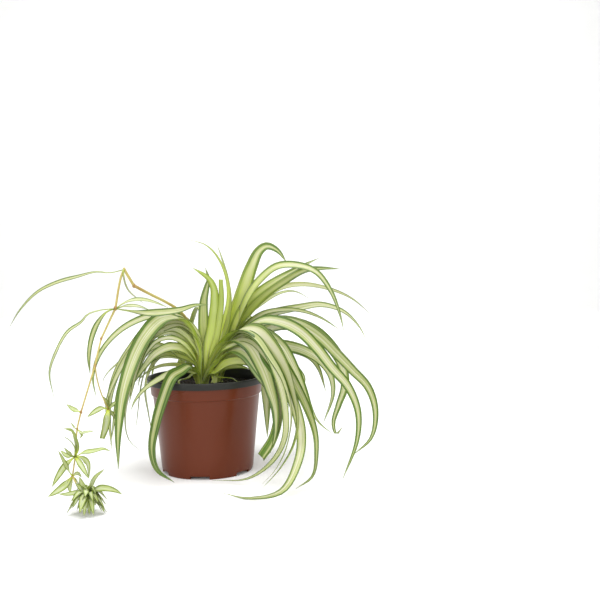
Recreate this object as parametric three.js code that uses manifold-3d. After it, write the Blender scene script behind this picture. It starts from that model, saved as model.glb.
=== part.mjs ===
// Potted spider plant: two leaf rosettes in a round nursery pot, with a runner that hangs over the left
// side and carries young plantlets.
// Units are millimetres, +Z is up, and the origin is the middle of the pot's foot. The plant's front, where
// the runner hangs, faces -Y.
import * as THREE from 'three';
import { mergeVertices } from 'three/addons/utils/BufferGeometryUtils.js';
import Module from 'manifold-3d';

const wasm = await Module();
wasm.setup();

// ---- driving dimensions ------------------------------------------------------------------------------
const GAP = 0.4;                        // clear space between neighbouring pieces
const LIP_RADIUS = 60;                  // 12 cm nursery pot
const POT_HEIGHT = 96.5;
const LIP_HEIGHT = 6.5;                 // dark band around the top
const COLLAR_RADIUS = 57;               // wider ring under the lip
const COLLAR_FOOT = 78.5;               // where the collar steps in to the wall
const WALL_TOP_RADIUS = 54.3;
const WALL_FOOT_RADIUS = 46.8;
const WALL = 1.2;
const FLOOR_LIFT = 4;                   // the floor stands clear of the ground between foot ring and boss
const BOSS_RADIUS = 22;                 // flat middle of the floor, which touches the ground
const NOTCHES = 6;                      // drainage notches in the foot ring
const NOTCH_ARC = 24;                   // degrees
const NOTCH_HEIGHT = 3.4;
const FOOT_RING = 2.5;                  // width of the ring that the pot stands on
const FLOOR_SLOPE = 2.5;                // run of the slope between the raised floor and the boss
const FIRST_NOTCH = -94;                // degrees from +X
const SOIL_TOP = 86;
const SOIL_BUMP = 1.1;                  // height of the lumps on the compost
const SOIL_RINGS = [44, 33, 22, 11, 0];
const HOLE_TOP = 96;                    // the crowns' holes are cut up to here
const CROWN_RADIUS = 8;                 // short stem at the heart of a rosette
const CROWN_FOOT = 75;
const CROWN_TOP = 91;
const CROWN_SIDES = 20;
const LEFT_CROWN = [-4, -6];
const RIGHT_CROWN = [9, 20];
const ROOT_HEIGHT = 84;                 // where a blade leaves its crown
const ROOT_REACH = 3;
const NECK_HEIGHT = 104;                // an upright blade's first bend above its root
const NECK_REACH = 4;
const NECK_LEAN = 6;                    // how much further out that bend lies on a low blade
const NECK_DROP = 4;                    // and how much lower
const KEEL = 0.65;                      // half a blade's thickness along its middle
const YOUNG_KEEL = 0.5;
const BLADE_STEP = 28;                  // length of one strip of a rosette blade
const RUNNER_BLADE_STEP = 16;
const YOUNG_BLADE_STEP = 9;
const FOLD = 0.32;                      // depth of the channel, as a share of half the width
const SHOULDER = 0.45;                  // share of its length where a blade reaches its full width
const BASE_SHARE = 0.62;                // width at the root, as a share of the full width
const YOUNG_BASE_SHARE = 0.45;
const RUNNER_RADIUS = 1.45;             // from the rosette to the kink
const HANGING_RADIUS = 1.1;             // from the kink to the side shoot
const RUNNER_TIP_RADIUS = 0.8;          // from there to the tip
const SHOOT_RADIUS = 0.7;
const KNUCKLE_RADIUS = 1.9;
const SMALL_KNUCKLE_RADIUS = 1.5;
const END_RADIUS = 1.2;
const STEM_SIDES = 6;
const GOLDEN_ANGLE = 2.39996;           // radians between one young leaf and the next
const SHORTEST_RUN = 18;                // a blade's outer half that runs less in plan hangs straight down
const REST_HEIGHT = 1.5;                // lowest line of a young leaf that lies on the surface

// ---- solids ------------------------------------------------------------------------------------------
// A closed surface as a solid, with its doubled points merged and its collapsed triangles left out.
function solid(geometry) {
  const bare = geometry.clone();
  bare.deleteAttribute('normal');
  bare.deleteAttribute('uv');
  const merged = mergeVertices(bare, 1e-4);
  const index = Array.from(merged.index.array);
  const kept = [];
  for (let i = 0; i < index.length; i += 3) {
    const [a, b, c] = index.slice(i, i + 3);
    if (a !== b && b !== c && c !== a) kept.push(a, b, c);
  }
  return new wasm.Manifold(new wasm.Mesh({
    numProp: 3,
    vertProperties: new Float32Array(merged.attributes.position.array),
    triVerts: new Uint32Array(kept),
  }));
}

function geometryOf(body) {
  const mesh = body.getMesh();
  const geometry = new THREE.BufferGeometry();
  geometry.setAttribute('position', new THREE.BufferAttribute(new Float32Array(mesh.vertProperties), 3));
  geometry.setIndex(new THREE.BufferAttribute(new Uint32Array(mesh.triVerts), 1));
  geometry.computeVertexNormals();
  return geometry;
}

function fuse(bodies) {
  return bodies.reduce((whole, body) => whole.add(body));
}

// The largest piece alone: scraps that a cut leaves loose are dropped.
function whole(body) {
  return body.decompose().reduce((best, piece) => (piece.volume() > best.volume() ? piece : best));
}

// A closed outline of [radius, height] points turned about the Z axis.
function turned(outline, sides) {
  const points = outline.map(([r, z]) => new THREE.Vector2(r, z));
  return solid(new THREE.LatheGeometry(points, sides).rotateX(Math.PI / 2));
}

function ball(centre, radius) {
  return solid(new THREE.IcosahedronGeometry(radius, 0).translate(...centre));
}

function post([x, y], radius, foot, top, sides) {
  const shape = new THREE.CylinderGeometry(radius, radius, top - foot, sides).rotateX(Math.PI / 2);
  return solid(shape.translate(x, y, (foot + top) / 2));
}

function vector(point) {
  return new THREE.Vector3(...point);
}

function smooth(x) {
  const t = Math.min(1, Math.max(0, x));
  return t * t * (3 - 2 * t);
}

// Park-Miller draws between 0 and 1, the same every run.
function draws(seed) {
  const multiplier = 16807;
  const modulus = 2147483647;
  let state = seed;
  return () => {
    state = (state * multiplier) % modulus;
    return state / modulus;
  };
}

// ---- blades ------------------------------------------------------------------------------------------
// A level line across the blade, at right angles to the way it runs in plan.
function levelSide(from, to) {
  return new THREE.Vector3(to.y - from.y, from.x - to.x, 0);
}

// A strap leaf along a smooth curve through its points. It is folded to a shallow channel, widest near the
// middle and drawn out to a point. It twists by `turn` degrees from the share `level` of its length, where
// it still lies level across, up to its shoulder.
// A trimmed leaf keeps only the first share of its natural length, and so ends broad.
// Each section has four corners: two sharp edges, the channel's floor and the keel under it. Every strip
// between two sections is split along the same diagonal on both faces.
function blade(points, { width, turn, level, kept }, { step, base, keel }) {
  const curve = new THREE.CatmullRomCurve3(points.map(vector), false, 'centripetal');
  const segments = THREE.MathUtils.clamp(Math.round(curve.getLength() / step), 3, 12);
  const start = curve.getPointAt(0);
  const middle = curve.getPointAt(0.5);
  const end = curve.getPointAt(1);
  const firstSide = levelSide(start, middle).normalize();
  const lastRun = levelSide(middle, end);
  const hangs = lastRun.length() < SHORTEST_RUN;
  const turnsBack = firstSide.dot(lastRun.clone().normalize()) < -0.2;
  const lastSide = hangs || turnsBack ? firstSide : lastRun.clone().normalize();
  const corners = [];
  for (let i = 0; i <= segments; i += 1) {
    const s = i / segments;
    const centre = curve.getPointAt(s);
    const run = curve.getTangentAt(s);
    const flat = firstSide.clone().lerp(lastSide, smooth(s));
    const side = flat.addScaledVector(run, -flat.dot(run)).normalize();
    const face = side.clone().cross(run);
    const angle = THREE.MathUtils.degToRad(turn) * smooth((s - level) / (SHOULDER - level));
    const across = side.clone().multiplyScalar(Math.cos(angle)).addScaledVector(face, Math.sin(angle));
    const up = face.clone().multiplyScalar(Math.cos(angle)).addScaledVector(side, -Math.sin(angle));
    const taper = Math.pow(Math.max(0, 1 - Math.pow(s * kept, 3)), 0.9);
    const half = (width / 2) * (base + (1 - base) * smooth(s / SHOULDER)) * taper;
    const thick = keel * (1 - 0.5 * s);
    const lift = half * FOLD;
    if (i === segments && kept === 1) {
      corners.push(centre);
    } else {
      corners.push(
        centre.clone().addScaledVector(across, half).addScaledVector(up, lift * 0.5),
        centre.clone().addScaledVector(up, thick - lift * 0.5),
        centre.clone().addScaledVector(across, -half).addScaledVector(up, lift * 0.5),
        centre.clone().addScaledVector(up, -thick - lift * 0.5),
      );
    }
  }
  const faces = [0, 1, 3, 1, 2, 3];
  const strips = kept === 1 ? segments - 1 : segments;
  for (let i = 0; i < strips; i += 1) {
    const [right, floor, left, under] = [0, 1, 2, 3].map((k) => 4 * i + k);
    const [right2, floor2, left2, under2] = [4, 5, 6, 7].map((k) => 4 * i + k);
    faces.push(right, right2, floor2, right, floor2, floor);
    faces.push(floor, floor2, left2, floor, left2, left);
    faces.push(right, under2, right2, right, under, under2);
    faces.push(under, left2, under2, under, left, left2);
  }
  const [right, floor, left, under] = [0, 1, 2, 3].map((k) => 4 * strips + k);
  if (kept === 1) {
    const tip = corners.length - 1;
    faces.push(right, tip, floor, floor, tip, left, left, tip, under, under, tip, right);
  } else {
    faces.push(right, under, floor, floor, under, left);
  }
  const geometry = new THREE.BufferGeometry();
  const numbers = corners.flatMap((p) => [p.x, p.y, p.z]);
  geometry.setAttribute('position', new THREE.BufferAttribute(new Float32Array(numbers), 3));
  geometry.setIndex(faces);
  return solid(geometry);
}

// One leaf of a table: its width, its twist in degrees and the points that it passes through.
function leaf(width, turn, ...path) {
  return { width, turn, path, level: 0, kept: 1 };
}

function trimmed(one, kept) {
  return { ...one, kept };
}

// A leaf that rises edge-on and turns its face only past its crest.
function late(one, level) {
  return { ...one, level };
}

// A rosette leaf leaves its crown steeply on the side that it grows to, then follows its own points.
function rosetteBlade([x, y], one) {
  const [px, py, pz] = one.path[0];
  const reach = Math.hypot(px - x, py - y);
  const out = [(px - x) / reach, (py - y) / reach];
  const lean = Math.min(1, reach / Math.max(1, pz - SOIL_TOP));
  const neckReach = NECK_REACH + NECK_LEAN * lean;
  const neckHeight = NECK_HEIGHT - NECK_DROP * lean;
  const root = [x + out[0] * ROOT_REACH, y + out[1] * ROOT_REACH, ROOT_HEIGHT];
  const neck = [x + out[0] * neckReach, y + out[1] * neckReach, neckHeight];
  return blade([root, neck, ...one.path], one, { step: BLADE_STEP, base: BASE_SHARE, keel: KEEL });
}

// Leaves that fill a sector of a rosette: each rises to its peak, arches over the lip and hangs to its tip,
// with a small drift to one side.
function sector([x, y], seed, { count, from, to, reach, peak, tip, width, turn }) {
  const draw = draws(seed);
  const between = ([low, high]) => low + (high - low) * draw();
  return Array.from({ length: count }, (_, i) => {
    const azimuth = THREE.MathUtils.degToRad(from + ((to - from) * (i + 0.15 + 0.7 * draw())) / count);
    const far = between(reach);
    const top = between(peak);
    const low = between(tip);
    const drift = 10 * (draw() - 0.5);
    const along = [Math.cos(azimuth), Math.sin(azimuth)];
    const at = (share, swing, z) => [
      x + along[0] * far * share - along[1] * swing,
      y + along[1] * far * share + along[0] * swing,
      z,
    ];
    const path = [
      at(0.46, 0.2 * drift, top),
      at(0.82, 0.6 * drift, top - 0.28 * (top - low)),
      at(1, drift, low),
    ];
    return leaf(between(width), between(turn), ...path);
  });
}

// ---- leaf tables: width, twist, then the arch, the fall and the tip of each leaf -------------------------
const LEFT_LEAVES = [
  // falling on the left, the near ones first
  late(leaf(17, 66, [-6, -9, 124], [-19, -16, 154], [-38, -26, 158], [-56, -38, 140], [-72, -52, 99],
    [-79, -57, 53], [-80, -57, 15]), 0.27),
  leaf(13, 60, [-13, -20, 109], [-20, -40, 107], [-27, -59, 103], [-34, -66, 85], [-41, -70, 61],
    [-45, -70, 36], [-41, -66, 16], [-26, -60, 2]),
  leaf(9, 62, [-7, -2, 125], [-19, 0, 152], [-38, 2, 160], [-61, 2, 157], [-87, -2, 144], [-107, -6, 121],
    [-114, -9, 97], [-111, -10, 76]),
  leaf(11, 60, [-5, -5, 123], [-17, -5, 149], [-37, -8, 156], [-55, -12, 148], [-72, -16, 128],
    [-87, -20, 103], [-95, -22, 74], [-94, -22, 25]),
  leaf(9, 60, [-5, -7, 119], [-18, -10, 142], [-37, -14, 148], [-55, -20, 141], [-72, -26, 124],
    [-86, -30, 100], [-95, -32, 76], [-96, -32, 53]),
  leaf(9, 62, [-3, -8, 121], [-8, -11, 142], [-23, -14, 154], [-40, -22, 152], [-54, -32, 135],
    [-64, -40, 106], [-71, -44, 75]),
  leaf(7, 62, [-2, -9, 122], [-8, -12, 138], [-22, -14, 150], [-36, -20, 148], [-50, -28, 138],
    [-60, -36, 119], [-66, -40, 94]),
  leaf(8, 56, [-6, -10, 118], [-16, -14, 137], [-30, -18, 146], [-45, -26, 142], [-55, -32, 128],
    [-62, -36, 108]),
  leaf(7, 45, [-8, 0, 114], [-21, 4, 133], [-36, 6, 140], [-52, 8, 136], [-65, 8, 121], [-72, 6, 100]),
  leaf(7, 56, [-8, -12, 112], [-18, -18, 130], [-32, -24, 138], [-45, -30, 135], [-55, -34, 123],
    [-62, -38, 105]),
  leaf(11, 58, [-9, -12, 111], [-18, -18, 125], [-32, -26, 129], [-46, -33, 123], [-57, -38, 110],
    [-69, -42, 92]),
  leaf(7, 45, [-9, -11, 108], [-21, -14, 117], [-38, -18, 121], [-52, -20, 115], [-62, -20, 103],
    [-67, -20, 87]),
  leaf(6, 40, [-12, -8, 103], [-26, -6, 108], [-43, -6, 108], [-57, -8, 103], [-69, -10, 93]),
  leaf(8, 40, [-12, -24, 103], [-25, -34, 106], [-39, -48, 101], [-53, -56, 92], [-62, -60, 81],
    [-66, -60, 72]),
  leaf(7, 62, [-11, 2, 108], [-26, 10, 118], [-44, 16, 118], [-59, 18, 104], [-66, 18, 81], [-63, 16, 54],
    [-59, 14, 31]),
  leaf(7, 40, [-10, -2, 106], [-35, 0, 116], [-59, 2, 111], [-77, 2, 85], [-84, 0, 56], [-81, -2, 32],
    [-68, -2, 18]),
  leaf(6, 40, [-7, 4, 126], [-20, 8, 150], [-40, 12, 156], [-59, 14, 148], [-75, 16, 130], [-91, 16, 111],
    [-105, 16, 98], [-110, 16, 89], [-107, 16, 79]),
  // upright
  leaf(13, -82, [0, -6, 127], [-1, -6, 152], [0, -6, 174], [3, -6, 187], [5, -6, 195], [2, -6, 207]),
  leaf(13, 84, [4, -9, 128], [9, -10, 152], [11, -10, 174], [10, -9, 187], [5, -8, 196], [-11, -5, 207]),
  leaf(4, 80, [12, -10, 129], [20, -10, 154], [25, -10, 177], [23, -10, 199], [14, -10, 219],
    [3, -11, 230], [-12, -12, 235]),
  trimmed(leaf(8, 85, [10, -10, 129], [15, -12, 152], [18, -13, 174], [18, -13, 195]), 0.8),
  // falling on the right and in front
  late(leaf(17, -60, [22, -12, 134], [39, -24, 146], [55, -36, 145], [69, -50, 133], [83, -66, 112],
    [91, -80, 87], [94, -88, 65], [89, -92, 43], [77, -93, 23], [60, -92, 4]), 0.2),
  late(leaf(18, -58, [18, -12, 129], [34, -22, 137], [47, -32, 132], [60, -46, 112], [68, -56, 91],
    [73, -64, 70], [72, -68, 47], [67, -68, 31]), 0.22),
  trimmed(leaf(20, -66, [28, -16, 126], [43, -28, 125], [58, -44, 109], [73, -58, 88], [76, -64, 64],
    [70, -66, 43], [59, -66, 26]), 0.62),
  leaf(12, -58, [26, -8, 129], [47, -20, 139], [63, -34, 127], [81, -52, 98], [93, -68, 70],
    [97, -82, 50], [94, -96, 31], [79, -110, 7], [50, -115, 2], [24, -98, 2]),
  leaf(12, -56, [26, -8, 131], [49, -24, 143], [69, -40, 128], [89, -58, 101], [103, -70, 74],
    [110, -80, 53], [111, -86, 38], [107, -88, 14], [91, -88, 2]),
  leaf(8, -45, [24, -16, 130], [43, -30, 141], [60, -46, 132], [75, -64, 104], [82, -74, 73],
    [81, -76, 47], [69, -70, 24], [45, -64, 6], [10, -59, 3]),
  leaf(7, -45, [22, -14, 130], [37, -26, 143], [53, -40, 140], [68, -56, 122], [81, -70, 101],
    [88, -82, 73], [83, -84, 41], [72, -80, 18], [58, -76, 2]),
  leaf(7, -40, [19, -12, 126], [34, -22, 135], [50, -34, 133], [64, -48, 119], [75, -60, 103],
    [85, -68, 84]),
  leaf(9, -60, [14, -12, 122], [25, -18, 128], [37, -24, 131], [46, -30, 124], [52, -34, 114]),
  // a low fan over the right of the pot
  leaf(11, -66, [9, -8, 109], [21, -10, 121], [33, -12, 124], [44, -16, 120], [52, -20, 109]),
  leaf(11, -62, [10, -12, 102], [22, -18, 111], [36, -26, 114], [48, -34, 111], [57, -40, 104]),
  leaf(12, -64, [9, -6, 105], [21, -6, 116], [35, -8, 118], [46, -10, 113], [53, -12, 105]),
  leaf(9, -56, [8, -10, 100], [21, -12, 106], [34, -14, 107], [46, -18, 105]),
  // short curled leaves over the soil
  leaf(6, 10, [14, -16, 97], [28, -20, 96], [37, -22, 90]),
  leaf(7, -10, [-16, -20, 97], [-24, -26, 95], [-21, -34, 90]),
];
const RIGHT_LEAVES = [
  // upright and high
  leaf(6, -75, [14, 14, 125], [22, 13, 150], [25, 13, 173], [23, 12, 194], [18, 12, 214], [12, 12, 232]),
  leaf(20, -72, [22, 14, 136], [32, 14, 160], [39, 14, 181], [48, 14, 207], [56, 14, 223], [64, 14, 228],
    [75, 14, 223], [84, 14, 211]),
  leaf(11, -58, [33, 10, 152], [43, 8, 175], [55, 8, 192], [74, 6, 207], [95, 6, 208], [114, 4, 201],
    [129, 4, 181], [138, 2, 157], [142, 0, 139]),
  leaf(14, -60, [28, 16, 141], [45, 16, 163], [62, 18, 179], [82, 20, 192], [102, 22, 202],
    [122, 26, 204], [141, 28, 203]),
  leaf(8, -52, [34, 22, 146], [53, 26, 168], [74, 32, 183], [100, 40, 187], [130, 48, 181],
    [154, 56, 170], [174, 60, 153]),
  leaf(12, -62, [31, 10, 150], [43, 11, 170], [58, 12, 183], [77, 14, 195], [98, 17, 206], [118, 20, 215]),
  leaf(6, -45, [39, 26, 153], [59, 32, 169], [76, 40, 178], [92, 50, 179], [109, 56, 170]),
  // falling on the right
  leaf(7, -55, [37, 20, 141], [57, 22, 157], [78, 26, 161], [100, 30, 159], [120, 32, 151], [141, 32, 137]),
  leaf(11, -50, [40, 26, 144], [65, 34, 156], [97, 44, 162], [121, 54, 164], [146, 60, 155],
    [163, 62, 137], [170, 62, 122]),
  leaf(13, -66, [35, 6, 137], [58, 0, 152], [80, -6, 150], [98, -12, 141], [114, -20, 125],
    [128, -28, 107], [144, -34, 88], [153, -40, 64], [151, -46, 36], [136, -58, 2]),
  leaf(13, -64, [38, 16, 139], [66, 16, 150], [92, 14, 148], [115, 14, 135], [135, 12, 115],
    [151, 10, 98], [167, 8, 80], [174, 6, 55], [169, 2, 29], [149, -4, 12]),
  leaf(14, -62, [34, 18, 120], [57, 22, 125], [80, 26, 123], [100, 32, 117], [118, 36, 105],
    [129, 40, 88], [131, 40, 68], [120, 38, 36]),
  leaf(17, -68, [44, 30, 129], [75, 42, 144], [100, 48, 141], [121, 54, 128], [141, 60, 100],
    [145, 60, 75], [138, 60, 53], [132, 59, 33], [135, 57, 21], [142, 53, 30]),
  leaf(12, -60, [36, 22, 119], [61, 30, 122], [86, 38, 118], [106, 44, 109], [116, 46, 96], [124, 46, 70]),
  leaf(18, -78, [29, 24, 117], [44, 31, 126], [56, 39, 105], [59, 41, 71], [60, 41, 22]),
  leaf(12, -56, [35, 10, 131], [56, 0, 140], [77, -12, 129], [92, -24, 104], [104, -32, 73], [112, -36, 39]),
  leaf(8, -50, [34, 14, 129], [60, 6, 141], [84, -4, 120], [100, -10, 83], [113, -14, 51], [128, -14, 37]),
  leaf(17, -62, [35, 8, 125], [58, -4, 131], [76, -10, 122], [91, -12, 105], [100, -12, 94], [100, -12, 85]),
  leaf(12, -60, [29, 26, 111], [43, 38, 117], [66, 54, 113], [81, 62, 90], [83, 64, 49]),
  // low
  leaf(11, -64, [15, 14, 110], [26, 10, 122], [38, 8, 126], [48, 6, 121], [54, 4, 111]),
  leaf(10, -62, [15, 14, 102], [24, 11, 116], [34, 9, 121], [45, 7, 119], [52, 5, 111]),
  leaf(11, -64, [19, 12, 106], [32, 8, 114], [44, 4, 113], [52, 0, 105]),
];
const LEFT_FILL = [
  ...sector(LEFT_CROWN, 11, {
    count: 3, from: 150, to: 212, reach: [72, 98], peak: [118, 150], tip: [30, 84],
    width: [7, 11], turn: [10, 50],
  }),
];
const RIGHT_FILL = [
  ...sector(RIGHT_CROWN, 23, {
    count: 6, from: 30, to: 150, reach: [86, 124], peak: [138, 166], tip: [24, 90],
    width: [9, 14], turn: [-25, 25],
  }),
  ...sector(RIGHT_CROWN, 37, {
    count: 4, from: 38, to: 148, reach: [62, 88], peak: [114, 134], tip: [20, 80],
    width: [8, 12], turn: [-20, 20],
  }),
];

// ---- runner ------------------------------------------------------------------------------------------
// The runner's joints, where its leaves and shoots grow.
const RUNNER_FOOT = [-4, -6, 79];
const ELBOW = [-64, -40, 191];
const KINK = [-72, -45, 207];
const LEAF_JOINT = [-79, -56, 170];
const BUD_JOINT = [-91, -66, 142];
const SHOOT_JOINT = [-95, -76, 118];
const BRACT_JOINT = [-104, -96, 78];
const CURL_JOINT = [-106, -103, 64];
const UPPER_PLANTLET = [-106, -112, 41];
const SMALL_PLANTLET = [-107, -119, 25];
const LOWER_PLANTLET = [-86, -148, 17];
const SIDE_PLANTLET = [-91, -44, 71];

// A round stem along a smooth curve through its points.
function stem(points, radius, steps) {
  const circle = new THREE.EllipseCurve(0, 0, radius, radius);
  const section = new THREE.Shape(circle.getPoints(STEM_SIDES).slice(1));
  const path = new THREE.CatmullRomCurve3(points.map(vector), false, 'centripetal');
  return solid(new THREE.ExtrudeGeometry(section, { steps, extrudePath: path, bevelEnabled: false }));
}

// The runner rises inside the left rosette, bends sharply at its kink and hangs down to its plantlets.
// `room` makes a thicker copy, which clears what sits on the runner.
function runner(room) {
  const thick = RUNNER_RADIUS + room;
  const hanging = HANGING_RADIUS + room;
  const thin = RUNNER_TIP_RADIUS + room;
  const rise = [
    [-7, -2, 110], [-11, 2, 131], [-18, 0, 153], [-26, -10, 165], [-37, -22, 174], [-50, -31, 182],
  ];
  const knuckles = [RUNNER_FOOT, ELBOW, KINK, LEAF_JOINT];
  const smallKnuckles = [BUD_JOINT, SHOOT_JOINT, BRACT_JOINT, UPPER_PLANTLET, SMALL_PLANTLET];
  const ends = [CURL_JOINT, LOWER_PLANTLET, SIDE_PLANTLET];
  return fuse([
    stem([RUNNER_FOOT, ...rise, ELBOW], thick, 16),
    stem([ELBOW, KINK], thick, 1),
    stem([KINK, [-75, -47, 199], LEAF_JOINT], hanging, 4),
    stem([LEAF_JOINT, BUD_JOINT], hanging, 1),
    stem([BUD_JOINT, SHOOT_JOINT], hanging, 1),
    stem([SHOOT_JOINT, BRACT_JOINT], thin, 1),
    stem([BRACT_JOINT, CURL_JOINT, UPPER_PLANTLET], thin, 4),
    stem([UPPER_PLANTLET, SMALL_PLANTLET], thin, 1),
    stem([SMALL_PLANTLET, [-98, -133, 19], LOWER_PLANTLET], thin, 3),
    stem([SHOOT_JOINT, [-95, -70, 105], [-94, -58, 88], SIDE_PLANTLET], SHOOT_RADIUS + room, 6),
    ...knuckles.map((joint) => ball(joint, KNUCKLE_RADIUS + room)),
    ...smallKnuckles.map((joint) => ball(joint, SMALL_KNUCKLE_RADIUS + room)),
    ...ends.map((joint) => ball(joint, END_RADIUS + room)),
  ]);
}

const KINK_LEAVES = [
  leaf(5, 50, [-86, -46, 204], [-98, -48, 205], [-115, -50, 201], [-134, -52, 196], [-153, -54, 187],
    [-170, -56, 170], [-181, -56, 153]),
  leaf(4, 40, [-72, -50, 206], [-71, -52, 198], [-68, -48, 187], [-55, -38, 173]),
];
const NODE_LEAVES = [
  leaf(4.5, 50, [-92, -60, 169], [-104, -62, 165], [-110, -63, 158], [-123, -64, 149], [-134, -66, 130],
    [-140, -68, 111], [-136, -70, 87]),
  leaf(9, -60, [-54, -52, 165], [-37, -47, 165], [-19, -42, 167], [-5, -38, 171], [8, -36, 171]),
  leaf(5, -40, [-70, -56, 172], [-59, -55, 172], [-47, -53, 168]),
  leaf(5, -50, [-71, -53, 175], [-60, -48, 178], [-48, -42, 176], [-32, -36, 169]),
  leaf(6, 60, [-86, -62, 167], [-95, -66, 155], [-100, -68, 141], [-102, -70, 125], [-101, -71, 109]),
];
const BRACT_LEAVES = [leaf(5, 60, [-110, -98, 81], [-116, -99, 86])];
const CURL_LEAVES = [
  leaf(3, -50, [-102, -105, 61], [-96, -106, 62], [-89, -107, 63]),
  leaf(3, -50, [-102, -103, 59], [-104, -102, 55]),
  leaf(3, 50, [-108, -105, 66], [-111, -106, 71]),
];
const UPPER_LEAVES = [
  leaf(5.5, 62, [-104, -113, 48], [-105, -113, 56], [-108, -114, 65], [-115, -114, 67]),
  leaf(4, 60, [-105, -116, 50], [-108, -117, 56], [-116, -118, 62]),
  leaf(5, 60, [-110, -117, 45], [-114, -119, 51]),
  leaf(4.5, 60, [-114, -111, 42], [-120, -109, 46]),
  leaf(5, -55, [-98, -114, 45], [-88, -116, 47], [-79, -118, 49], [-73, -118, 47]),
  leaf(6.5, 60, [-113, -118, 35], [-119, -122, 26], [-124, -124, 17]),
  leaf(6, -60, [-100, -118, 36], [-95, -122, 30], [-91, -124, 24]),
  leaf(7, -60, [-101, -107, 38], [-97, -105, 33], [-96, -105, 20]),
];
const SMALL_LEAVES = [
  leaf(6, 60, [-111, -123, 35], [-117, -126, 50]),
  leaf(7, 60, [-112, -124, 19], [-119, -128, 14], [-126, -130, 10]),
  leaf(5, 60, [-109, -122, 19], [-108, -124, 11]),
  leaf(4, -50, [-103, -117, 27], [-100, -115, 23]),
  leaf(5, -50, [-105, -113, 19], [-102, -109, 12]),
];
const LOWER_LEAVES = [
  leaf(8, -60, [-84, -151, 24], [-79, -154, 33]),
  leaf(4, -60, [-81, -144, 30], [-73, -142, 37]),
  leaf(6.5, -60, [-78, -150, 22], [-69, -152, 23], [-61, -153, 21], [-56, -153, 18]),
  leaf(5, 60, [-97, -143, 17], [-107, -140, 15], [-114, -139, 15]),
  leaf(5.5, 60, [-91, -146, 24], [-94, -144, 31]),
  leaf(5.5, 60, [-92, -152, 24], [-95, -155, 29]),
];
const SIDE_LEAVES = [
  leaf(6, 60, [-93, -45, 78], [-96, -46, 84]),
  leaf(5, -60, [-90, -46, 79], [-90, -47, 85]),
  leaf(6, 60, [-98, -46, 72], [-104, -47, 69], [-111, -48, 64]),
  trimmed(leaf(8, 60, [-92, -48, 62], [-94, -49, 52], [-97, -49, 43]), 0.72),
  leaf(5, -60, [-87, -44, 75], [-82, -44, 79]),
  leaf(5, -60, [-88, -42, 66], [-85, -41, 60]),
];

// Leaves on every side of a young plantlet, spread by the golden angle, each arched down at its tip.
function burst([x, y, z], seed, { count, length, width, tilt }) {
  const draw = draws(seed);
  return Array.from({ length: count }, (_, i) => {
    const azimuth = GOLDEN_ANGLE * i + 0.5 * draw();
    const rise = tilt[0] + (tilt[1] - tilt[0]) * ((i + draw()) / count);
    const far = length[0] + (length[1] - length[0]) * draw();
    const out = [Math.cos(azimuth) * Math.cos(rise), Math.sin(azimuth) * Math.cos(rise), Math.sin(rise)];
    const at = (share, drop) => [
      x + out[0] * far * share,
      y + out[1] * far * share,
      Math.max(REST_HEIGHT, z + out[2] * far * share - drop * far),
    ];
    return leaf(width[0] + (width[1] - width[0]) * draw(), 40 * (draw() - 0.5), at(0.5, 0), at(1, 0.6));
  });
}

// A tuft of leaves that grow from one point, bored for the runner with a small clear space.
function tuft(centre, heart, leaves, step) {
  const options = { step, base: YOUNG_BASE_SHARE, keel: YOUNG_KEEL };
  const blades = leaves.map((one) => blade([centre, ...one.path], one, options));
  return whole(fuse([ball(centre, heart), ...blades]).subtract(runner(GAP)));
}

// ---- pot and soil ------------------------------------------------------------------------------------
const INSIDE = [
  [0, WALL],
  [BOSS_RADIUS, WALL],
  [BOSS_RADIUS + FLOOR_SLOPE, FLOOR_LIFT + WALL],
  [WALL_FOOT_RADIUS - WALL, FLOOR_LIFT + WALL],
  [WALL_TOP_RADIUS - WALL, COLLAR_FOOT],
  [COLLAR_RADIUS - 1 - WALL, COLLAR_FOOT + 1],
  [COLLAR_RADIUS - WALL, POT_HEIGHT - LIP_HEIGHT],
];

function pot() {
  const lipFoot = POT_HEIGHT - LIP_HEIGHT;
  const outside = [
    [0, 0],
    [BOSS_RADIUS, 0],
    [BOSS_RADIUS + FLOOR_SLOPE, FLOOR_LIFT],
    [WALL_FOOT_RADIUS - FOOT_RING - 1, FLOOR_LIFT],
    [WALL_FOOT_RADIUS - FOOT_RING, 0],
    [WALL_FOOT_RADIUS - 1, 0],
    [WALL_FOOT_RADIUS, FLOOR_LIFT],
    [WALL_TOP_RADIUS, COLLAR_FOOT - 0.3],
    [COLLAR_RADIUS - 1, COLLAR_FOOT + 0.7],
    [COLLAR_RADIUS, lipFoot],
    [LIP_RADIUS - 0.5, lipFoot],
    [LIP_RADIUS, POT_HEIGHT - 1],
    [LIP_RADIUS - 0.6, POT_HEIGHT],
    [COLLAR_RADIUS + 0.4, POT_HEIGHT],
  ];
  const shell = turned([...outside, ...INSIDE.slice().reverse()], 40);
  const notchWidth = 2 * WALL_FOOT_RADIUS * Math.sin(THREE.MathUtils.degToRad(NOTCH_ARC / 2));
  const notches = Array.from({ length: NOTCHES }, (_, i) => {
    const angle = THREE.MathUtils.degToRad(FIRST_NOTCH + (360 / NOTCHES) * i);
    const block = new THREE.BoxGeometry(4 * FOOT_RING, notchWidth, 2 * NOTCH_HEIGHT);
    return solid(block.translate(WALL_FOOT_RADIUS - 1, 0, 0).rotateZ(angle));
  });
  return shell.subtract(fuse(notches));
}

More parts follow.
